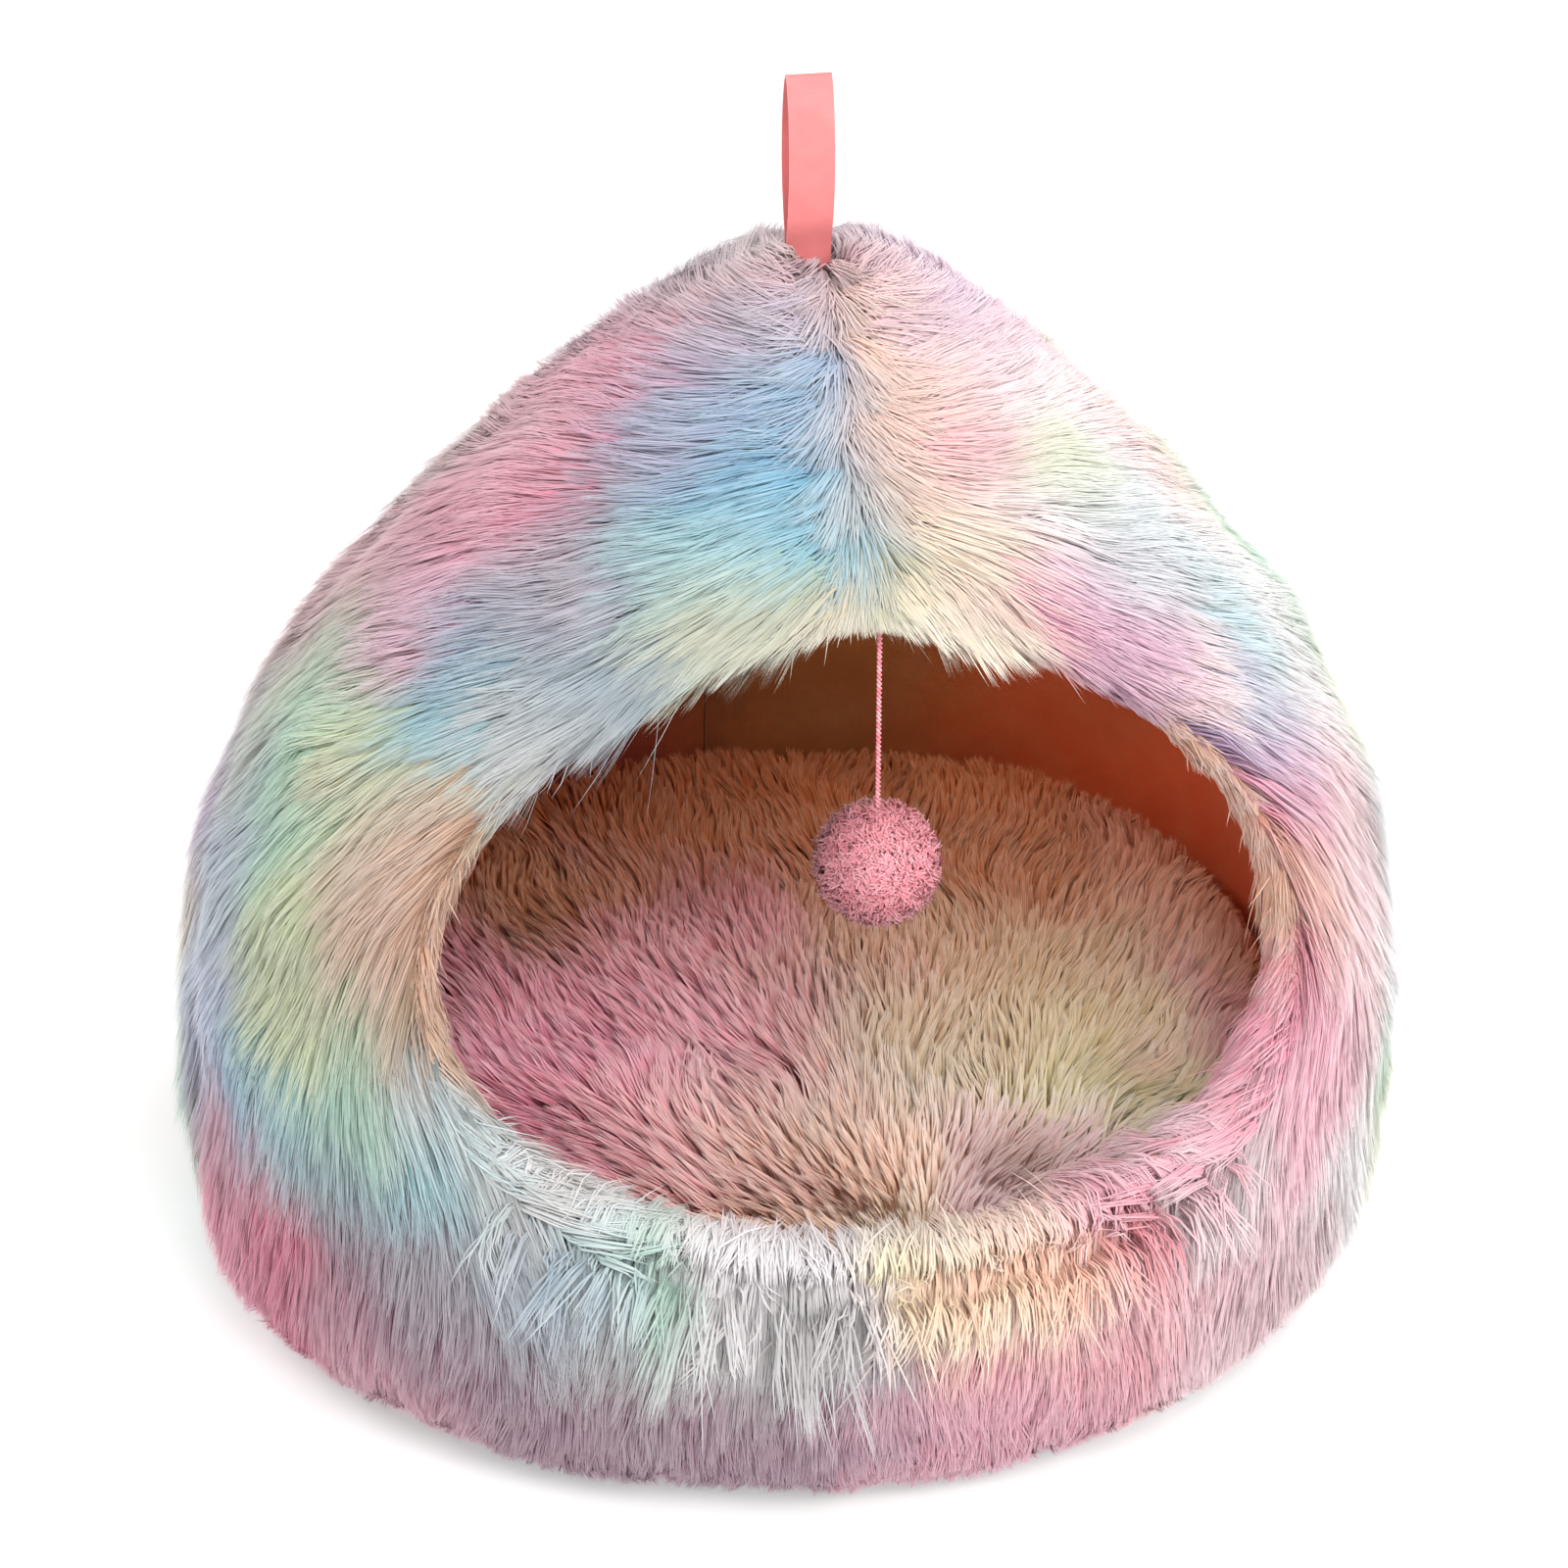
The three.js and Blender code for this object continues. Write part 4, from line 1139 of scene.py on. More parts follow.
def wall_ways(angle, rise):
    """The ways down the wall and round it at a place."""
    step = 1e-3
    down = unit(wall_point(angle, rise - step, WAY_DEPTH) - wall_point(angle, rise + step, WAY_DEPTH))
    around = unit(wall_point(angle + step, rise, WAY_DEPTH) - wall_point(angle - step, rise, WAY_DEPTH))
    return down, around


def rim_frame(turn, side):
    """The mouth's edge with its way into the mouth and its way out of the wall."""
    step = 1e-3
    angle, rise = mouth_edge(turn, side)
    ahead = wall_point(*mouth_edge(np.clip(turn + step, 0, 1), side), 0.5)
    behind = wall_point(*mouth_edge(np.clip(turn - step, 0, 1), side), 0.5)
    along = unit(ahead - behind)
    out = unit(wall_point(angle, rise, 0.0) - wall_point(angle, rise, 1.0))
    into = unit(np.cross(along, out)) * side
    return wall_point(angle, rise, 0.5), into, out


def round_edge(edge, into, out, run):
    """Points a run round the mouth's edge, 0 at its middle, and the way out of the pile there."""
    bend = np.clip(run / NOSE, -math.pi / 2, math.pi / 2)[:, None]
    skin = into * np.cos(bend) - out * np.sin(bend)
    past = np.maximum(np.abs(run)[:, None] - NOSE * math.pi / 2, 0)
    return edge - into * (NOSE + past) + skin * (NOSE - RIM_SUNK), skin


def make_rim(word):
    """The pile round one half of the mouth."""
    side = SIDES[word]
    rng = np.random.default_rng(RIM_SEED + side)
    u, v = spread(PILE_RIM)
    turn = np.clip(u, *RIM_ENDS)
    edge, into, out = rim_frame(turn, side)
    under = smoothstep(-np.cos(math.pi * turn), *RIM_LIP[word])
    turns, *columns = np.array(RIM_COURSE[word]).T
    outer_bend, hang_length, follow, cross = (np.interp(turn, turns, column) for column in columns)
    run = NOSE * lerp(np.radians(outer_bend), RIM_INNER_BEND, v)
    roots, skin = round_edge(edge, into, out, run)
    tufts, locks, tuft, lock = tufts_and_locks(roots)
    angle, rise = mouth_edge(turn, side)
    down, around = wall_ways(angle, rise)
    comb = np.radians(comb_turn(angle, rise) + RIM_COMB_LOOSE * rng.normal(size=tufts)[tuft])[:, None]
    lie = down * np.cos(comb) + around * np.sin(comb) * side
    lie = unit(lie - skin * np.minimum(np.sum(lie * skin, axis=1), 0)[:, None])
    by_lock, by_tuft, by_strand = RIM_RAGGED
    ragged = 1 + by_lock * rng.normal(size=locks)[lock] + by_tuft * rng.normal(size=tufts)[tuft]
    ragged = np.clip(ragged + by_strand * rng.normal(size=PILE_RIM), *RIM_RAGGED_ENDS)
    wisp = rng.random(PILE_RIM) < WISP_SHARE
    stray = np.where(wisp, *WISP_STRAY)[:, None] * rng.normal(size=(PILE_RIM, 3))
    parted = run / NOSE + RIM_PARTING_LOOSE * rng.normal(size=tufts)[tuft]
    inward = (parted > RIM_PARTING)[:, None]
    lip = (rng.random(tufts)[tuft] < under)[:, None]
    sway = RIM_SWAY * rng.normal(size=tufts)[tuft][:, None] * np.cross(out, into)
    slant = (RIM_SLANT * (1 - smoothstep(turn, *RIM_SLANT_TURNS)))[:, None] * side * np.cross(out, into)
    way = unit(into * RIM_STAND_WAY[1] - out * RIM_STAND_WAY[0] + slant)
    cross = cross + RIM_CROSS_LOOSE * rng.normal(size=tufts)[tuft]
    loft = (RIM_LOFT[0] + RIM_LOFT[1] * rng.random(tufts))[tuft]
    hang_length = MM * hang_length * ragged

    def place(share, hang_lift, fall_lift, stand_lift):
        step = share * hang_length
        ahead = rim_frame(np.clip(turn + step / RIM_RUN, 0, RIM_ENDS[1]), side)
        spot, spot_skin = round_edge(*ahead, run + cross * step)
        lift = (hang_lift * loft)[:, None]
        hang = lerp(roots + skin * lift + lie * step[:, None], spot + spot_skin * lift, follow[:, None])
        hang = hang + stray * step[:, None]
        step = RIM_FALL_LENGTH * share * ragged
        spot, spot_skin = round_edge(edge, into, out, run - step)
        fall = spot + spot_skin * fall_lift + (sway + stray) * step[:, None]
        step = RIM_STAND_LENGTH[word] * share * ragged
        climb = np.clip(-run, 0, step)
        spot, spot_skin = round_edge(edge, into, out, run + climb)
        stand = spot + spot_skin * stand_lift + way * (step - climb)[:, None] + (sway + stray) * step[:, None]
        return np.where(lip, np.where(inward, stand, fall), hang)

    lines = np.stack([place(*row) for row in RIM_SHAPE], axis=1)
    lines[:, 0] -= skin * (RIM_ROOT_DEPTH * (1 - smoothstep(run / NOSE, *RIM_ROOTS)))[:, None]
    gather(lines, zip((lock, tuft), RIM_PULLS), RIM_PULL_SHARES, rng, wisp)
    chance = tuft_chance(rng, tufts, tuft)
    widths = rng.uniform(*RIM_WIDTHS, PILE_RIM) * MM
    dye = wall_dye_and_shade(lerp(roots, lines[:, 2], 0.5) + out * NOSE / 2)
    dye = lerp(dye, linear("white"), LIP_PALE * (inward & lip))
    if word == "right":
        bare = smoothstep(turn, *RIM_HEM[:2]) * (1 - smoothstep(turn, *RIM_HEM[2:]))
        dye = lerp(dye, linear("shell"), HEM_BARE * bare[:, None])
    pile = add_pile(f"rim_pile_{word}", lines, widths, skin, dye, chance, PILE)
    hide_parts(f"rim_locks_{word}")


# The lining

# Colours of the lining, a warm cloth, with its light and shade painted in: brick and garnet are painted
# shade, garnet in the crease at the back seam, and olive, terracotta, ember and shell are painted light,
# warm where light comes through the wall. Angle from the front in degrees, height and reach in mm.
LINING_LIGHT_AND_SHADE = {
    "brick": ((-40, 250, 40), (-100, 200, 60), (-150, 230, 50)),
    "garnet": ((177, 240, 16),),
    "olive": ((160, 220, 45),),
    "terracotta": ((125, 210, 50), (-60, 180, 40), (0, 60, 60)),
    "ember": ((95, 150, 45),),
    "shell": ((60, 190, 40),),
}
LINING_EDGE = 3 * MM
LINING_THICKNESS = 2 * MM
LINING_HEM_RISE = 0.002
LINING_GRID = {"front": (56, 24), "back": (40, 60)}
# Folds of the lining. Pleats lie across the back seam: how many, how far and how often they waver, their
# reach and lift.
PLEATS = 14
PLEAT_WAVER = (3, 9)
PLEAT_REACH = 28 * MM
PLEAT_LIFT = 1.3 * MM
# Slack lies all over: its run and lift. A puff lies beside the back seam: its place, reach and lift.
SLACK_RUN = 70 * MM
SLACK_LIFT = 1.2 * MM
SLACK_SEED = 41
PUFF_PLACE = 15 * MM
PUFF_REACH = 10 * MM
PUFF_LIFT = 5 * MM
# The folds fade out at the hem and the top over this rise, and at the back seam between these distances.
FOLD_FADE = 0.06
FOLD_SEAM = (-2 * MM, 9 * MM)
LINING_LIGHT_SPOTS = wall_spots(dye_rows(LINING_LIGHT_AND_SHADE), 1.0, 1.0)


def lining_fold(angle, rise, points):
    """How far soft folds lift the lining from the wall."""
    radius, _ = profile(rise, 1.0)
    from_seam = radius * np.abs(math.pi - np.abs(angle))
    far, often = PLEAT_WAVER
    pleat = np.sin(rise * 2 * math.pi * PLEATS + far * np.sin(often * rise))
    pleat = pleat * np.exp(-((from_seam / PLEAT_REACH) ** 2))
    slack = waves(points.reshape(-1, 3), SLACK_RUN, SLACK_SEED).reshape(rise.shape)
    puff = np.exp(-(((from_seam - PUFF_PLACE) / PUFF_REACH) ** 2))
    edge = np.minimum(1, np.minimum(rise, 1 - rise) / FOLD_FADE)
    fold = PLEAT_LIFT * (1 + pleat) + SLACK_LIFT * (1 + np.clip(slack, -1, 1)) + PUFF_LIFT * puff
    return fold * edge * smoothstep(from_seam, *FOLD_SEAM)


def make_lining(at, word):
    """A gore's lining in its folds."""
    side = SIDES[word]
    angle, rise, distance = gore_grid(at, side, LINING_GRID, LINING_EDGE)
    rise = np.maximum(rise, LINING_HEM_RISE)
    depth = face_depth(distance) + GAP / WALL_THICKNESS
    flat = wall_point(angle, rise, depth)
    fold = lining_fold(angle, rise, flat) * smoothstep(distance, LINING_EDGE, FACE_TAPER)
    outer = set_out(wall_point(angle, rise, depth + fold / WALL_THICKNESS), at, side)
    inner = set_out(wall_point(angle, rise, depth + (fold + LINING_THICKNESS) / WALL_THICKNESS), at, side)
    points, faces = shell(outer, inner)
    piece = add_piece(f"lining_{at}_{word}_cloth", points, outward(points, faces), LINING)
    # The lining's colours are its painted light and shade.
    paint(piece.data, "dye", blended(points, *LINING_LIGHT_SPOTS))
    radius, _ = profile(rise, 1.0)
    map_cloth(piece, np.stack([radius * angle, rise * WALL_RUN], axis=-1).reshape(-1, 2))
    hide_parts(f"lining_{at}_{word}")


# The cushion

CUSHION_PILE_HEIGHT = 18 * MM
# Its pile fans out from a whorl near the lip.
CUSHION_FAN = np.array([22 * MM, -150 * MM])
# It leans less near the whorl, between these distances from it.
CUSHION_FAN_STILL = (-0.03, 0.08)
CUSHION_LEAN = 15 * MM
# Loose leans as shares, by tuft and by strand, and loose headings, by tuft and by lock, then in long waves.
CUSHION_LEAN_LOOSE = (0.25, 0.1)
CUSHION_TURN_LOOSE = (0.16, 0.14)
CUSHION_TURN_WAVE = 0.3
CUSHION_WAVE_RUN = 50 * MM
# How far strands fall short of the pile's height, as shares: by tuft and by strand.
CUSHION_SHORT = (0.3, 0.25)
CUSHION_BEND = (0.4, 0.66)
CUSHION_PULLS = (0.1, 0.6)
CUSHION_PULL_SHARES = ((2, 1.0), (1, 0.45))
CUSHION_WIDTHS = (0.55, 0.9)
# Roots and tips reach these shares of the cushion's radius.
CUSHION_ROOTS = 0.975
CUSHION_TIPS = 0.99
# The borders of its dye wander by about this far.
CUSHION_WANDER = 9 * MM
CUSHION_DYE_SEED = 61
CUSHION_SEED = 71
# The cover lies under the pile: round steps, how far its side is drawn in past a share of the radius, and the
# heights between which it sinks to the pile's roots.
COVER_STEPS = 72
COVER_IN = 8 * MM
COVER_IN_FROM = 0.9
COVER_SINKS = (40 * MM, 80 * MM)


def cushion_top(x, y):
    """Height of the pile's tips over the cushion."""
    top = CUSHION_SECTION[CUSHION_TOP_ROW:][::-1]
    share = np.hypot(x, y) / CUSHION_RADIUS
    height = np.interp(share, top[:, 0], top[:, 1])
    lift = np.zeros_like(height)
    for lump_x, lump_y, reach, rise in CUSHION_LUMPS:
        lift += rise * np.exp(-((x - lump_x) ** 2 + (y - lump_y) ** 2) / reach**2)
    return BASE_THICKNESS + GAP + height + lift * (height / CUSHION_CROWN) ** 2


def cushion_body():
    """The cushion's cover under its pile, as closed rings."""
    steps = COVER_STEPS
    turn = 2 * math.pi * np.arange(steps) / steps
    rings = []
    for row, (share, height) in enumerate(CUSHION_SECTION):
        reach = CUSHION_RADIUS * share - COVER_IN * (share > COVER_IN_FROM)
        x, y = reach * np.cos(turn), reach * np.sin(turn)
        sunk = CUSHION_PILE_HEIGHT * smoothstep(height, *COVER_SINKS)
        z = np.full(steps, BASE_THICKNESS + GAP + height)
        if row >= CUSHION_TOP_ROW:
            z = cushion_top(x, y)
        rings.append(np.stack([x, y, z - sunk], axis=-1))
    bottom = rings[0][:1]
    crown = rings[-1][:1]
    points = np.concatenate([bottom, *rings[1:-1], crown])
    faces = []
    last = len(points) - 1
    count = len(rings) - 2
    for s in range(steps):
        t = (s + 1) % steps
        faces.append((0, 1 + s, 1 + t))
        for k in range(count - 1):
            low, high = 1 + k * steps, 1 + (k + 1) * steps
            faces.append((low + s, low + t, high + t, high + s))
        top = 1 + (count - 1) * steps
        faces.append((top + s, top + t, last))
    return points, outward(points, faces)


def make_cushion():
    """The cushion's cover and its pile."""
    rows = dye_rows(CUSHION_DYE_AND_LIGHT)
    spots = [np.array([x * MM, y * MM, 0.0]) for x, y, _, _ in rows]
    table = spots, [linear(row[3]) for row in rows], [row[2] * MM for row in rows]

    # The cushion's colours: dye, with painted light at the front and painted shade at the back.
    def dye_and_light_at(points):
        flat = points * np.array([1.0, 1.0, 0.0])
        wander = np.stack([waves(flat, CUSHION_WAVE_RUN, CUSHION_DYE_SEED + k) for k in range(3)], axis=-1)
        return blended(flat + CUSHION_WANDER * wander * np.array([1.0, 1.0, 0.0]), *table)

    points, faces = cushion_body()
    body = add_piece("cushion_pad", points, faces, BACKING)
    paint_pile(body.data, dye_and_light_at(points), np.zeros(len(points)), np.zeros(len(points)))
    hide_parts("cushion")

    rng = np.random.default_rng(CUSHION_SEED)
    u, v = spread(PILE_CUSHION)
    radius = CUSHION_RADIUS * CUSHION_ROOTS * np.sqrt(u)
    x, y = radius * np.cos(2 * math.pi * v), radius * np.sin(2 * math.pi * v)
    roots = np.stack([x, y, cushion_top(x, y) - CUSHION_PILE_HEIGHT], axis=-1)
    tufts, locks, tuft, lock = tufts_and_locks(roots)
    fan = np.stack([x, y], axis=-1) - CUSHION_FAN
    wave = waves(roots, CUSHION_WAVE_RUN, CUSHION_SEED + 1)
    heading = np.arctan2(fan[:, 1], fan[:, 0]) + CUSHION_TURN_WAVE * wave
    by_tuft, by_lock = CUSHION_TURN_LOOSE
    heading += by_tuft * rng.normal(size=tufts)[tuft] + by_lock * rng.normal(size=locks)[lock]
    by_tuft, by_strand = CUSHION_LEAN_LOOSE
    lean = 1 + by_tuft * rng.normal(size=tufts)[tuft] + by_strand * rng.normal(size=PILE_CUSHION)
    lean = CUSHION_LEAN * lean * smoothstep(np.linalg.norm(fan, axis=1), *CUSHION_FAN_STILL)
    by_tuft, by_strand = CUSHION_SHORT
    short = by_tuft * rng.random(tufts)[tuft] ** 2 + by_strand * rng.random(PILE_CUSHION) ** 3
    short = CUSHION_PILE_HEIGHT * short

    def place(share, lift):
        far_x = x + np.cos(heading) * lean * share
        far_y = y + np.sin(heading) * lean * share
        far = np.maximum(np.hypot(far_x, far_y) / (CUSHION_RADIUS * CUSHION_TIPS), 1)
        far_x, far_y = far_x / far, far_y / far
        tip = cushion_top(far_x, far_y) - short
        return np.stack([far_x, far_y, lerp(roots[:, 2], tip, lift)], axis=-1)

    lines = np.stack([roots, place(*CUSHION_BEND), place(1.0, 1.0)], axis=1)
    gather(lines, zip((lock, tuft), CUSHION_PULLS), CUSHION_PULL_SHARES, rng)
    step = 2 * MM
    slope_x = (cushion_top(x + step, y) - cushion_top(x - step, y)) / (2 * step)
    slope_y = (cushion_top(x, y + step) - cushion_top(x, y - step)) / (2 * step)
    normals = unit(np.stack([-slope_x, -slope_y, np.ones_like(x)], axis=-1))
    chance = tuft_chance(rng, tufts, tuft)
    widths = rng.uniform(*CUSHION_WIDTHS, PILE_CUSHION) * MM
    dye = dye_and_light_at(lerp(lines[:, 0], lines[:, 2], DYED_ALONG))
    pile = add_pile("cushion_pile", lines, widths, normals, dye, chance, CUSHION_PILE)
    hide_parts("cushion")


# The ribbon loop

RIBBON_WIDTH = 15 * MM
RIBBON_THICKNESS = 1 * MM
RIBBON_X = 9 * MM
RIBBON_TOP = 422 * MM
RIBBON_STEPS = 12
RIBBON_COLUMNS = 13
RIBBON_RIB = 0.5 * MM
# Its deeper and its paler colour, as linear red, green and blue.
RIBBON_COLOURS = ((0.80, 0.19, 0.19, 1), (0.88, 0.28, 0.28, 1))
# The woven edges are thicker, from one share of the half width to the next, and round off past them.
RIBBON_EDGE = (0.86, 0.97, 0.5)
RIBBON_ROUND = (0.96, 1.0, 0.45)
# Its front leg from the seam up to the fold, seen from the side: out and height.
RIBBON_LEG = MM * np.array([(0.9, 347), (0.9, 364), (4.2, 374), (7, 388), (6.6, 403), (3.6, 416)])


def ribbon_path(steps):
    """The ribbon from seam to seam, seen from the side."""
    front = RIBBON_LEG * np.array([-1, 1])
    fold = np.array([[0.0, RIBBON_TOP - RIBBON_THICKNESS / 2]])
    return centripetal(np.concatenate([front, fold, RIBBON_LEG[::-1]]), steps)


def make_ribbon():
    """The ribbon's satin, with ribs across it. Its thick edges have the full thickness."""
    path = ribbon_path(RIBBON_STEPS)
    along = unit(np.gradient(path, axis=0))
    away = np.stack([-along[:, 1], along[:, 0]], axis=-1)
    run = np.concatenate([[0], np.cumsum(np.linalg.norm(np.diff(path, axis=0), axis=1))])
    across = np.linspace(-1, 1, RIBBON_COLUMNS)
    *edge, thicker = RIBBON_EDGE
    *rounding, thinner = RIBBON_ROUND
    bulge = 1 + thicker * smoothstep(np.abs(across), *edge) - thinner * smoothstep(np.abs(across), *rounding)
    grids = []
    for face in (1, -1):
        rows = []
        for share, thick in zip(across, bulge):
            offset = away * (face * thick * RIBBON_THICKNESS / 3)
            line = path + offset
            x = np.full(len(path), RIBBON_X + share * RIBBON_WIDTH / 2)
            rows.append(np.stack([x, line[:, 0], line[:, 1]], axis=-1))
        grids.append(np.array(rows))
    points, faces = shell(*grids)
    material, tree, shader = new_material("satin_ribbon", roughness=0.38, sheen=0.4, specular=0.5)
    place = cloth_map(tree)
    ribs = threads(tree, place, "Y", RIBBON_RIB, crooked=0.3, detail=2.0)
    add_relief(tree, shader, ribs, strength=0.25, distance=0.3 * MM)
    mottle = mottling(tree, place, scale=90.0, detail=2.0)
    tone = tree.nodes.new("ShaderNodeValToRGB")
    for element, colour in zip(tone.color_ramp.elements, RIBBON_COLOURS):
        element.color = colour
    tree.links.new(mottle, tone.inputs["Fac"])
    tree.links.new(tone.outputs["Color"], shader.inputs["Base Color"])
    piece = add_piece("ribbon_satin", points, outward(points, faces), material)
    sheet_map = np.meshgrid(across * RIBBON_WIDTH / 2, run, indexing="ij")
    map_cloth(piece, np.stack(sheet_map, axis=-1).reshape(-1, 2))
    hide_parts("ribbon_loop")


# The pompom and its string

STRING_RADIUS = 0.95 * MM
STRING_PLIES = 2
STRING_TWIST = 3.2 * MM
# It is as pale as a strand is this far along.
STRING_ALONG = 0.6
STRING_STEPS = 120
STRING_SIDES = 8
# Its tone varies over about this run.
STRING_TONE_RUN = 3 * MM
STRING_SEED = 91
POMPOM_HEIGHT = 190 * MM
POMPOM_RADIUS = 21 * MM
# Fibres run from a core to near the radius, as a share of it, uneven by tuft and by fibre.
POMPOM_CORE = 14 * MM
POMPOM_REACH = 0.96
POMPOM_UNEVEN = 0.02
FIBRES_IN_TUFT = 7
# How far fibres lean to their tuft and to chance.
POMPOM_GATHER = 0.35
POMPOM_STRAY = 0.05
# Near the end fibres bend aside: how near, and how far aside. A share of them stands loose, and longer.
POMPOM_BEND = 1.2 * MM
POMPOM_ASIDE = 2.6 * MM
POMPOM_LOOSE = 0.04
POMPOM_LOOSE_ASIDE = 0.8 * MM
POMPOM_LOOSE_PAST = 1.6 * MM
POMPOM_WIDTHS = (0.45, 0.8)
# Fibres of a tuft bend aside alike, but for this share. Their cut ends keep this share of the width.
POMPOM_ASIDE_LOOSE = 0.5
POMPOM_BLUNT = 0.6
POMPOM_SEED = 81


def make_pompom():
    """The pompom's yarn and its string, which hangs where the string's solid does."""
    string_low, string_high = (np.array(corner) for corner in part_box("pompom_string"))
    middle = (string_low + string_high) / 2
    centre = np.array([middle[0], middle[1], POMPOM_HEIGHT])
    rng = np.random.default_rng(POMPOM_SEED)
    k = np.arange(PILE_POMPOM)
    level = 1 - 2 * (k + 0.5) / PILE_POMPOM
    turn = k * math.pi * (3 - math.sqrt(5))
    flat = np.sqrt(1 - level**2)
    way = np.stack([flat * np.cos(turn), flat * np.sin(turn), level], axis=-1)
    tufts = PILE_POMPOM // FIBRES_IN_TUFT
    seeds = way[rng.permutation(PILE_POMPOM)[:tufts]]
    tuft = nearest(way, seeds)
    bent = unit(lerp(way, seeds[tuft], POMPOM_GATHER) + POMPOM_STRAY * rng.normal(size=way.shape))
    swerve = rng.normal(size=(tufts, 3))[tuft] + POMPOM_ASIDE_LOOSE * rng.normal(size=way.shape)
    aside = unit(np.cross(bent, swerve))
    loose = rng.random(PILE_POMPOM) < POMPOM_LOOSE
    uneven = POMPOM_UNEVEN * (rng.normal(size=tufts)[tuft] + rng.normal(size=PILE_POMPOM))
    reach = POMPOM_RADIUS * (POMPOM_REACH + uneven) + np.where(loose, POMPOM_LOOSE_PAST, 0)
    bends = centre + bent * (reach - POMPOM_BEND)[:, None]
    tips = centre + bent * reach[:, None] + aside * np.where(loose, POMPOM_LOOSE_ASIDE, POMPOM_ASIDE)[:, None]
    lines = np.stack([centre + way * POMPOM_CORE, bends, tips], axis=1)
    widths = rng.uniform(*POMPOM_WIDTHS, PILE_POMPOM) * MM
    dye = np.repeat(linear("candy")[None], PILE_POMPOM, axis=0)
    chance = tuft_chance(rng, tufts, tuft, by_tuft=0.5)
    ball = add_pile("pompom_yarn_ball", lines, widths, way, dye, chance, YARN, POMPOM_BLUNT)
    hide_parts("pompom")

    top = np.array([middle[0], middle[1], string_high[2]])
    bottom = np.array([middle[0], middle[1], string_low[2]])
    length = float(top[2] - bottom[2])
    steps = STRING_STEPS
    sides = STRING_SIDES
    share = np.linspace(0, 1, steps)
    path = lerp(top, bottom, share[:, None])
    points = []
    faces = []
    for ply in range(STRING_PLIES):
        phase = 2 * math.pi * (share * length / STRING_TWIST + ply / STRING_PLIES)
        line = path + STRING_RADIUS / 2 * np.stack([np.cos(phase), np.sin(phase), 0 * phase], axis=-1)
        for i in range(steps):
            for s in range(sides):
                corner = 2 * math.pi * s / sides
                points.append(line[i] + STRING_RADIUS / 2 * np.array([math.cos(corner), math.sin(corner), 0]))
        start = ply * steps * sides
        for i in range(steps - 1):
            for s in range(sides):
                t = (s + 1) % sides
                a, b = start + i * sides, start + (i + 1) * sides
                faces.append((a + s, b + s, b + t, a + t))
        faces.append(tuple(start + s for s in range(sides)))
        faces.append(tuple(start + (steps - 1) * sides + s for s in reversed(range(sides))))
    points = np.array(points)
    string = add_piece("pompom_cord", points, faces, YARN)
    dye = np.repeat(linear("candy")[None], len(points), axis=0)
    chance = 0.5 + 0.5 * np.clip(waves(points, STRING_TONE_RUN, STRING_SEED), -1, 1)
    paint_pile(string.data, dye, np.full(len(points), STRING_ALONG), chance)
    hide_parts("pompom_string")


# Making the bed

for word in SIDES:
    for at in ("front", "back"):
        make_gore(at, word)
        make_lining(at, word)
    make_rim(word)
make_cushion()
make_ribbon()
make_pompom()


# The base's cloth: its two colours, as linear red, green and blue, and how many checks of them fill a metre.
BASE_COLOURS = ((0.52, 0.36, 0.37, 1), (0.60, 0.43, 0.44, 1))
BASE_CHECKS = 700.0


def dress_base():
    """Plain woven cloth on the base."""
    material, tree, shader = new_material("base_cloth", roughness=0.85, sheen=0.2, specular=0.2)
    place = tree.nodes.new("ShaderNodeTexCoord")
    first, second = BASE_COLOURS
    weave = node(tree, "ShaderNodeTexChecker", Scale=BASE_CHECKS, Color1=first, Color2=second)
    tree.links.new(place.outputs["Object"], weave.inputs["Vector"])
    tree.links.new(weave.outputs["Color"], shader.inputs["Base Color"])
    add_relief(tree, shader, weave.outputs["Fac"], strength=0.3, distance=0.5 * MM)
    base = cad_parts["base"]
    base.data.materials.clear()
    base.data.materials.append(material)


dress_base()

# The stage, the light and the camera

FLOOR_HALF = 6.0
FLOOR_GREY = (0.8, 0.8, 0.8, 1)
FLOOR_GLOW = 0.4
WHITE_LIGHT = (1.0, 1.0, 1.0, 1)


def make_stage():
    """A wide, pale floor that glows a little."""
    corners = FLOOR_HALF * np.array([(-1, -1, 0), (1, -1, 0), (1, 1, 0), (-1, 1, 0)])
    mesh = bpy.data.meshes.new("floor")
    mesh.from_pydata(corners.tolist(), [], [(0, 1, 2, 3)])
    floor = bpy.data.objects.new("floor", mesh)
    bpy.context.collection.objects.link(floor)
    material, _, shader = new_material("pale_floor", roughness=0.9, specular=0.1)
    shader.inputs["Base Color"].default_value = FLOOR_GREY
    shader.inputs["Emission Color"].default_value = WHITE_LIGHT
    shader.inputs["Emission Strength"].default_value = FLOOR_GLOW
    mesh.materials.append(material)


def aim(thing, position, target):
    """Put a light or a camera at a place and turn it to a target."""
    back = unit(np.array(position) - np.array(target))
    right = unit(np.cross([0.0, 0.0, 1.0], back))
    up = np.cross(back, right)
    turn = Matrix((right, up, back)).transposed().to_4x4()
    thing.matrix_world = Matrix.Translation(position) @ turn


def add_light(name, position, size, energy, colour, target):
    """A round lamp."""
    light = bpy.data.lights.new(name, "AREA")
    light.shape = "DISK"
    light.size = size
    light.energy = energy
    light.color = colour
    thing = bpy.data.objects.new(name, light)
    bpy.context.collection.objects.link(thing)
    aim(thing, position, target)


# Light is followed through the pile for this many bounces.
LIGHT_BOUNCES = 2
BED_MIDDLE = (0.0, 0.0, 0.18)
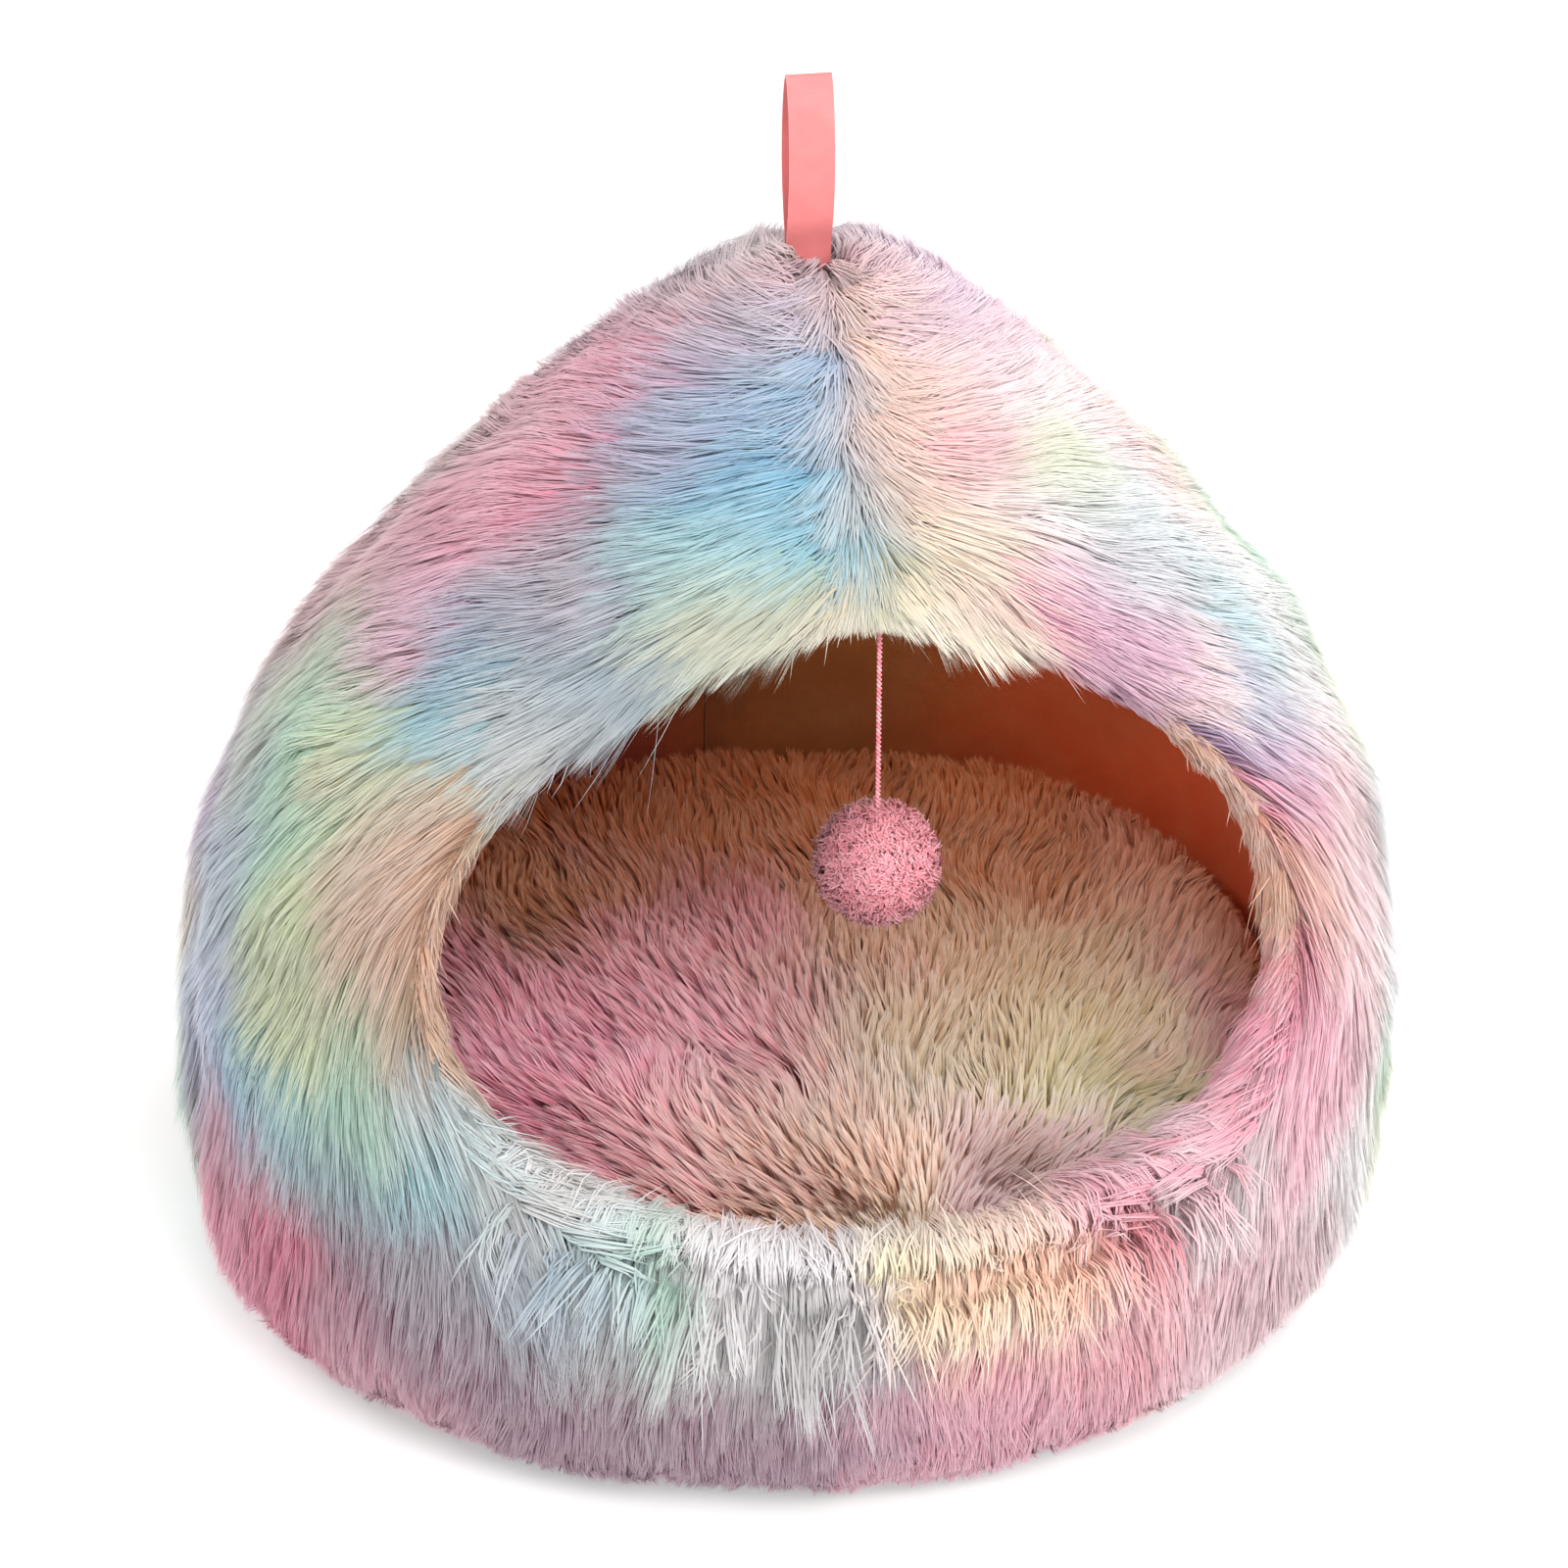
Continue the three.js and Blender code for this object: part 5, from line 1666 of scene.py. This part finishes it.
# Lights: name, place, size, watts, colour and target. The glow is in the cave, turned to its lining.
LIGHTS = (
    ("key", (1.7, -1.9, 1.6), 1.3, 34, (1.0, 0.985, 0.96), BED_MIDDLE),
    ("fill", (0.1, -1.85, 2.0), 1.4, 34, (1.0, 0.99, 0.98), BED_MIDDLE),
    ("back_left", (-1.9, 0.7, 1.7), 1.2, 18, (1.0, 1.0, 1.0), BED_MIDDLE),
    ("back_right", (1.6, 1.1, 1.7), 1.2, 18, (1.0, 1.0, 1.0), BED_MIDDLE),
    ("glow", (0.0, 0.01, 0.26), 0.06, 0.12, (1.0, 0.8, 0.62), (0.15, 0.07, 0.25)),
)
SKY_STRENGTH = 0.45


def make_light():
    """The lamps and an even white sky."""
    for row in LIGHTS:
        add_light(*row)
    bpy.data.objects["glow"].visible_camera = False
    world = bpy.data.worlds.new("studio")
    world.use_nodes = True
    sky = world.node_tree.nodes["Background"]
    sky.inputs["Color"].default_value = WHITE_LIGHT
    sky.inputs["Strength"].default_value = SKY_STRENGTH
    bpy.context.scene.world = world
    bpy.context.scene.view_settings.view_transform = "Standard"
    bpy.context.scene.cycles.max_bounces = LIGHT_BOUNCES
    bpy.context.scene.cycles.use_light_tree = False


CAMERA_AZIMUTH = math.radians(-10)
CAMERA_ELEVATION = math.radians(28)
CAMERA_DISTANCE = 1.5
CAMERA_TARGET = np.array([0.0, 0.0, 165 * MM])
CAMERA_ASIDE = 1 * MM
CAMERA_LENS = 99
CAMERA_SENSOR = 36


def make_camera():
    """The camera, placed by its angles round the bed."""
    right = np.array([math.cos(CAMERA_AZIMUTH), math.sin(CAMERA_AZIMUTH), 0.0])
    level = np.array([math.sin(CAMERA_AZIMUTH), -math.cos(CAMERA_AZIMUTH), 0.0])
    back = level * math.cos(CAMERA_ELEVATION) + np.array([0.0, 0.0, math.sin(CAMERA_ELEVATION)])
    target = CAMERA_TARGET + right * CAMERA_ASIDE
    data = bpy.data.cameras.new("camera")
    data.lens = CAMERA_LENS
    data.sensor_width = CAMERA_SENSOR
    thing = bpy.data.objects.new("camera", data)
    bpy.context.collection.objects.link(thing)
    aim(thing, target + back * CAMERA_DISTANCE, target)
    bpy.context.scene.camera = thing


make_stage()
make_light()
make_camera()
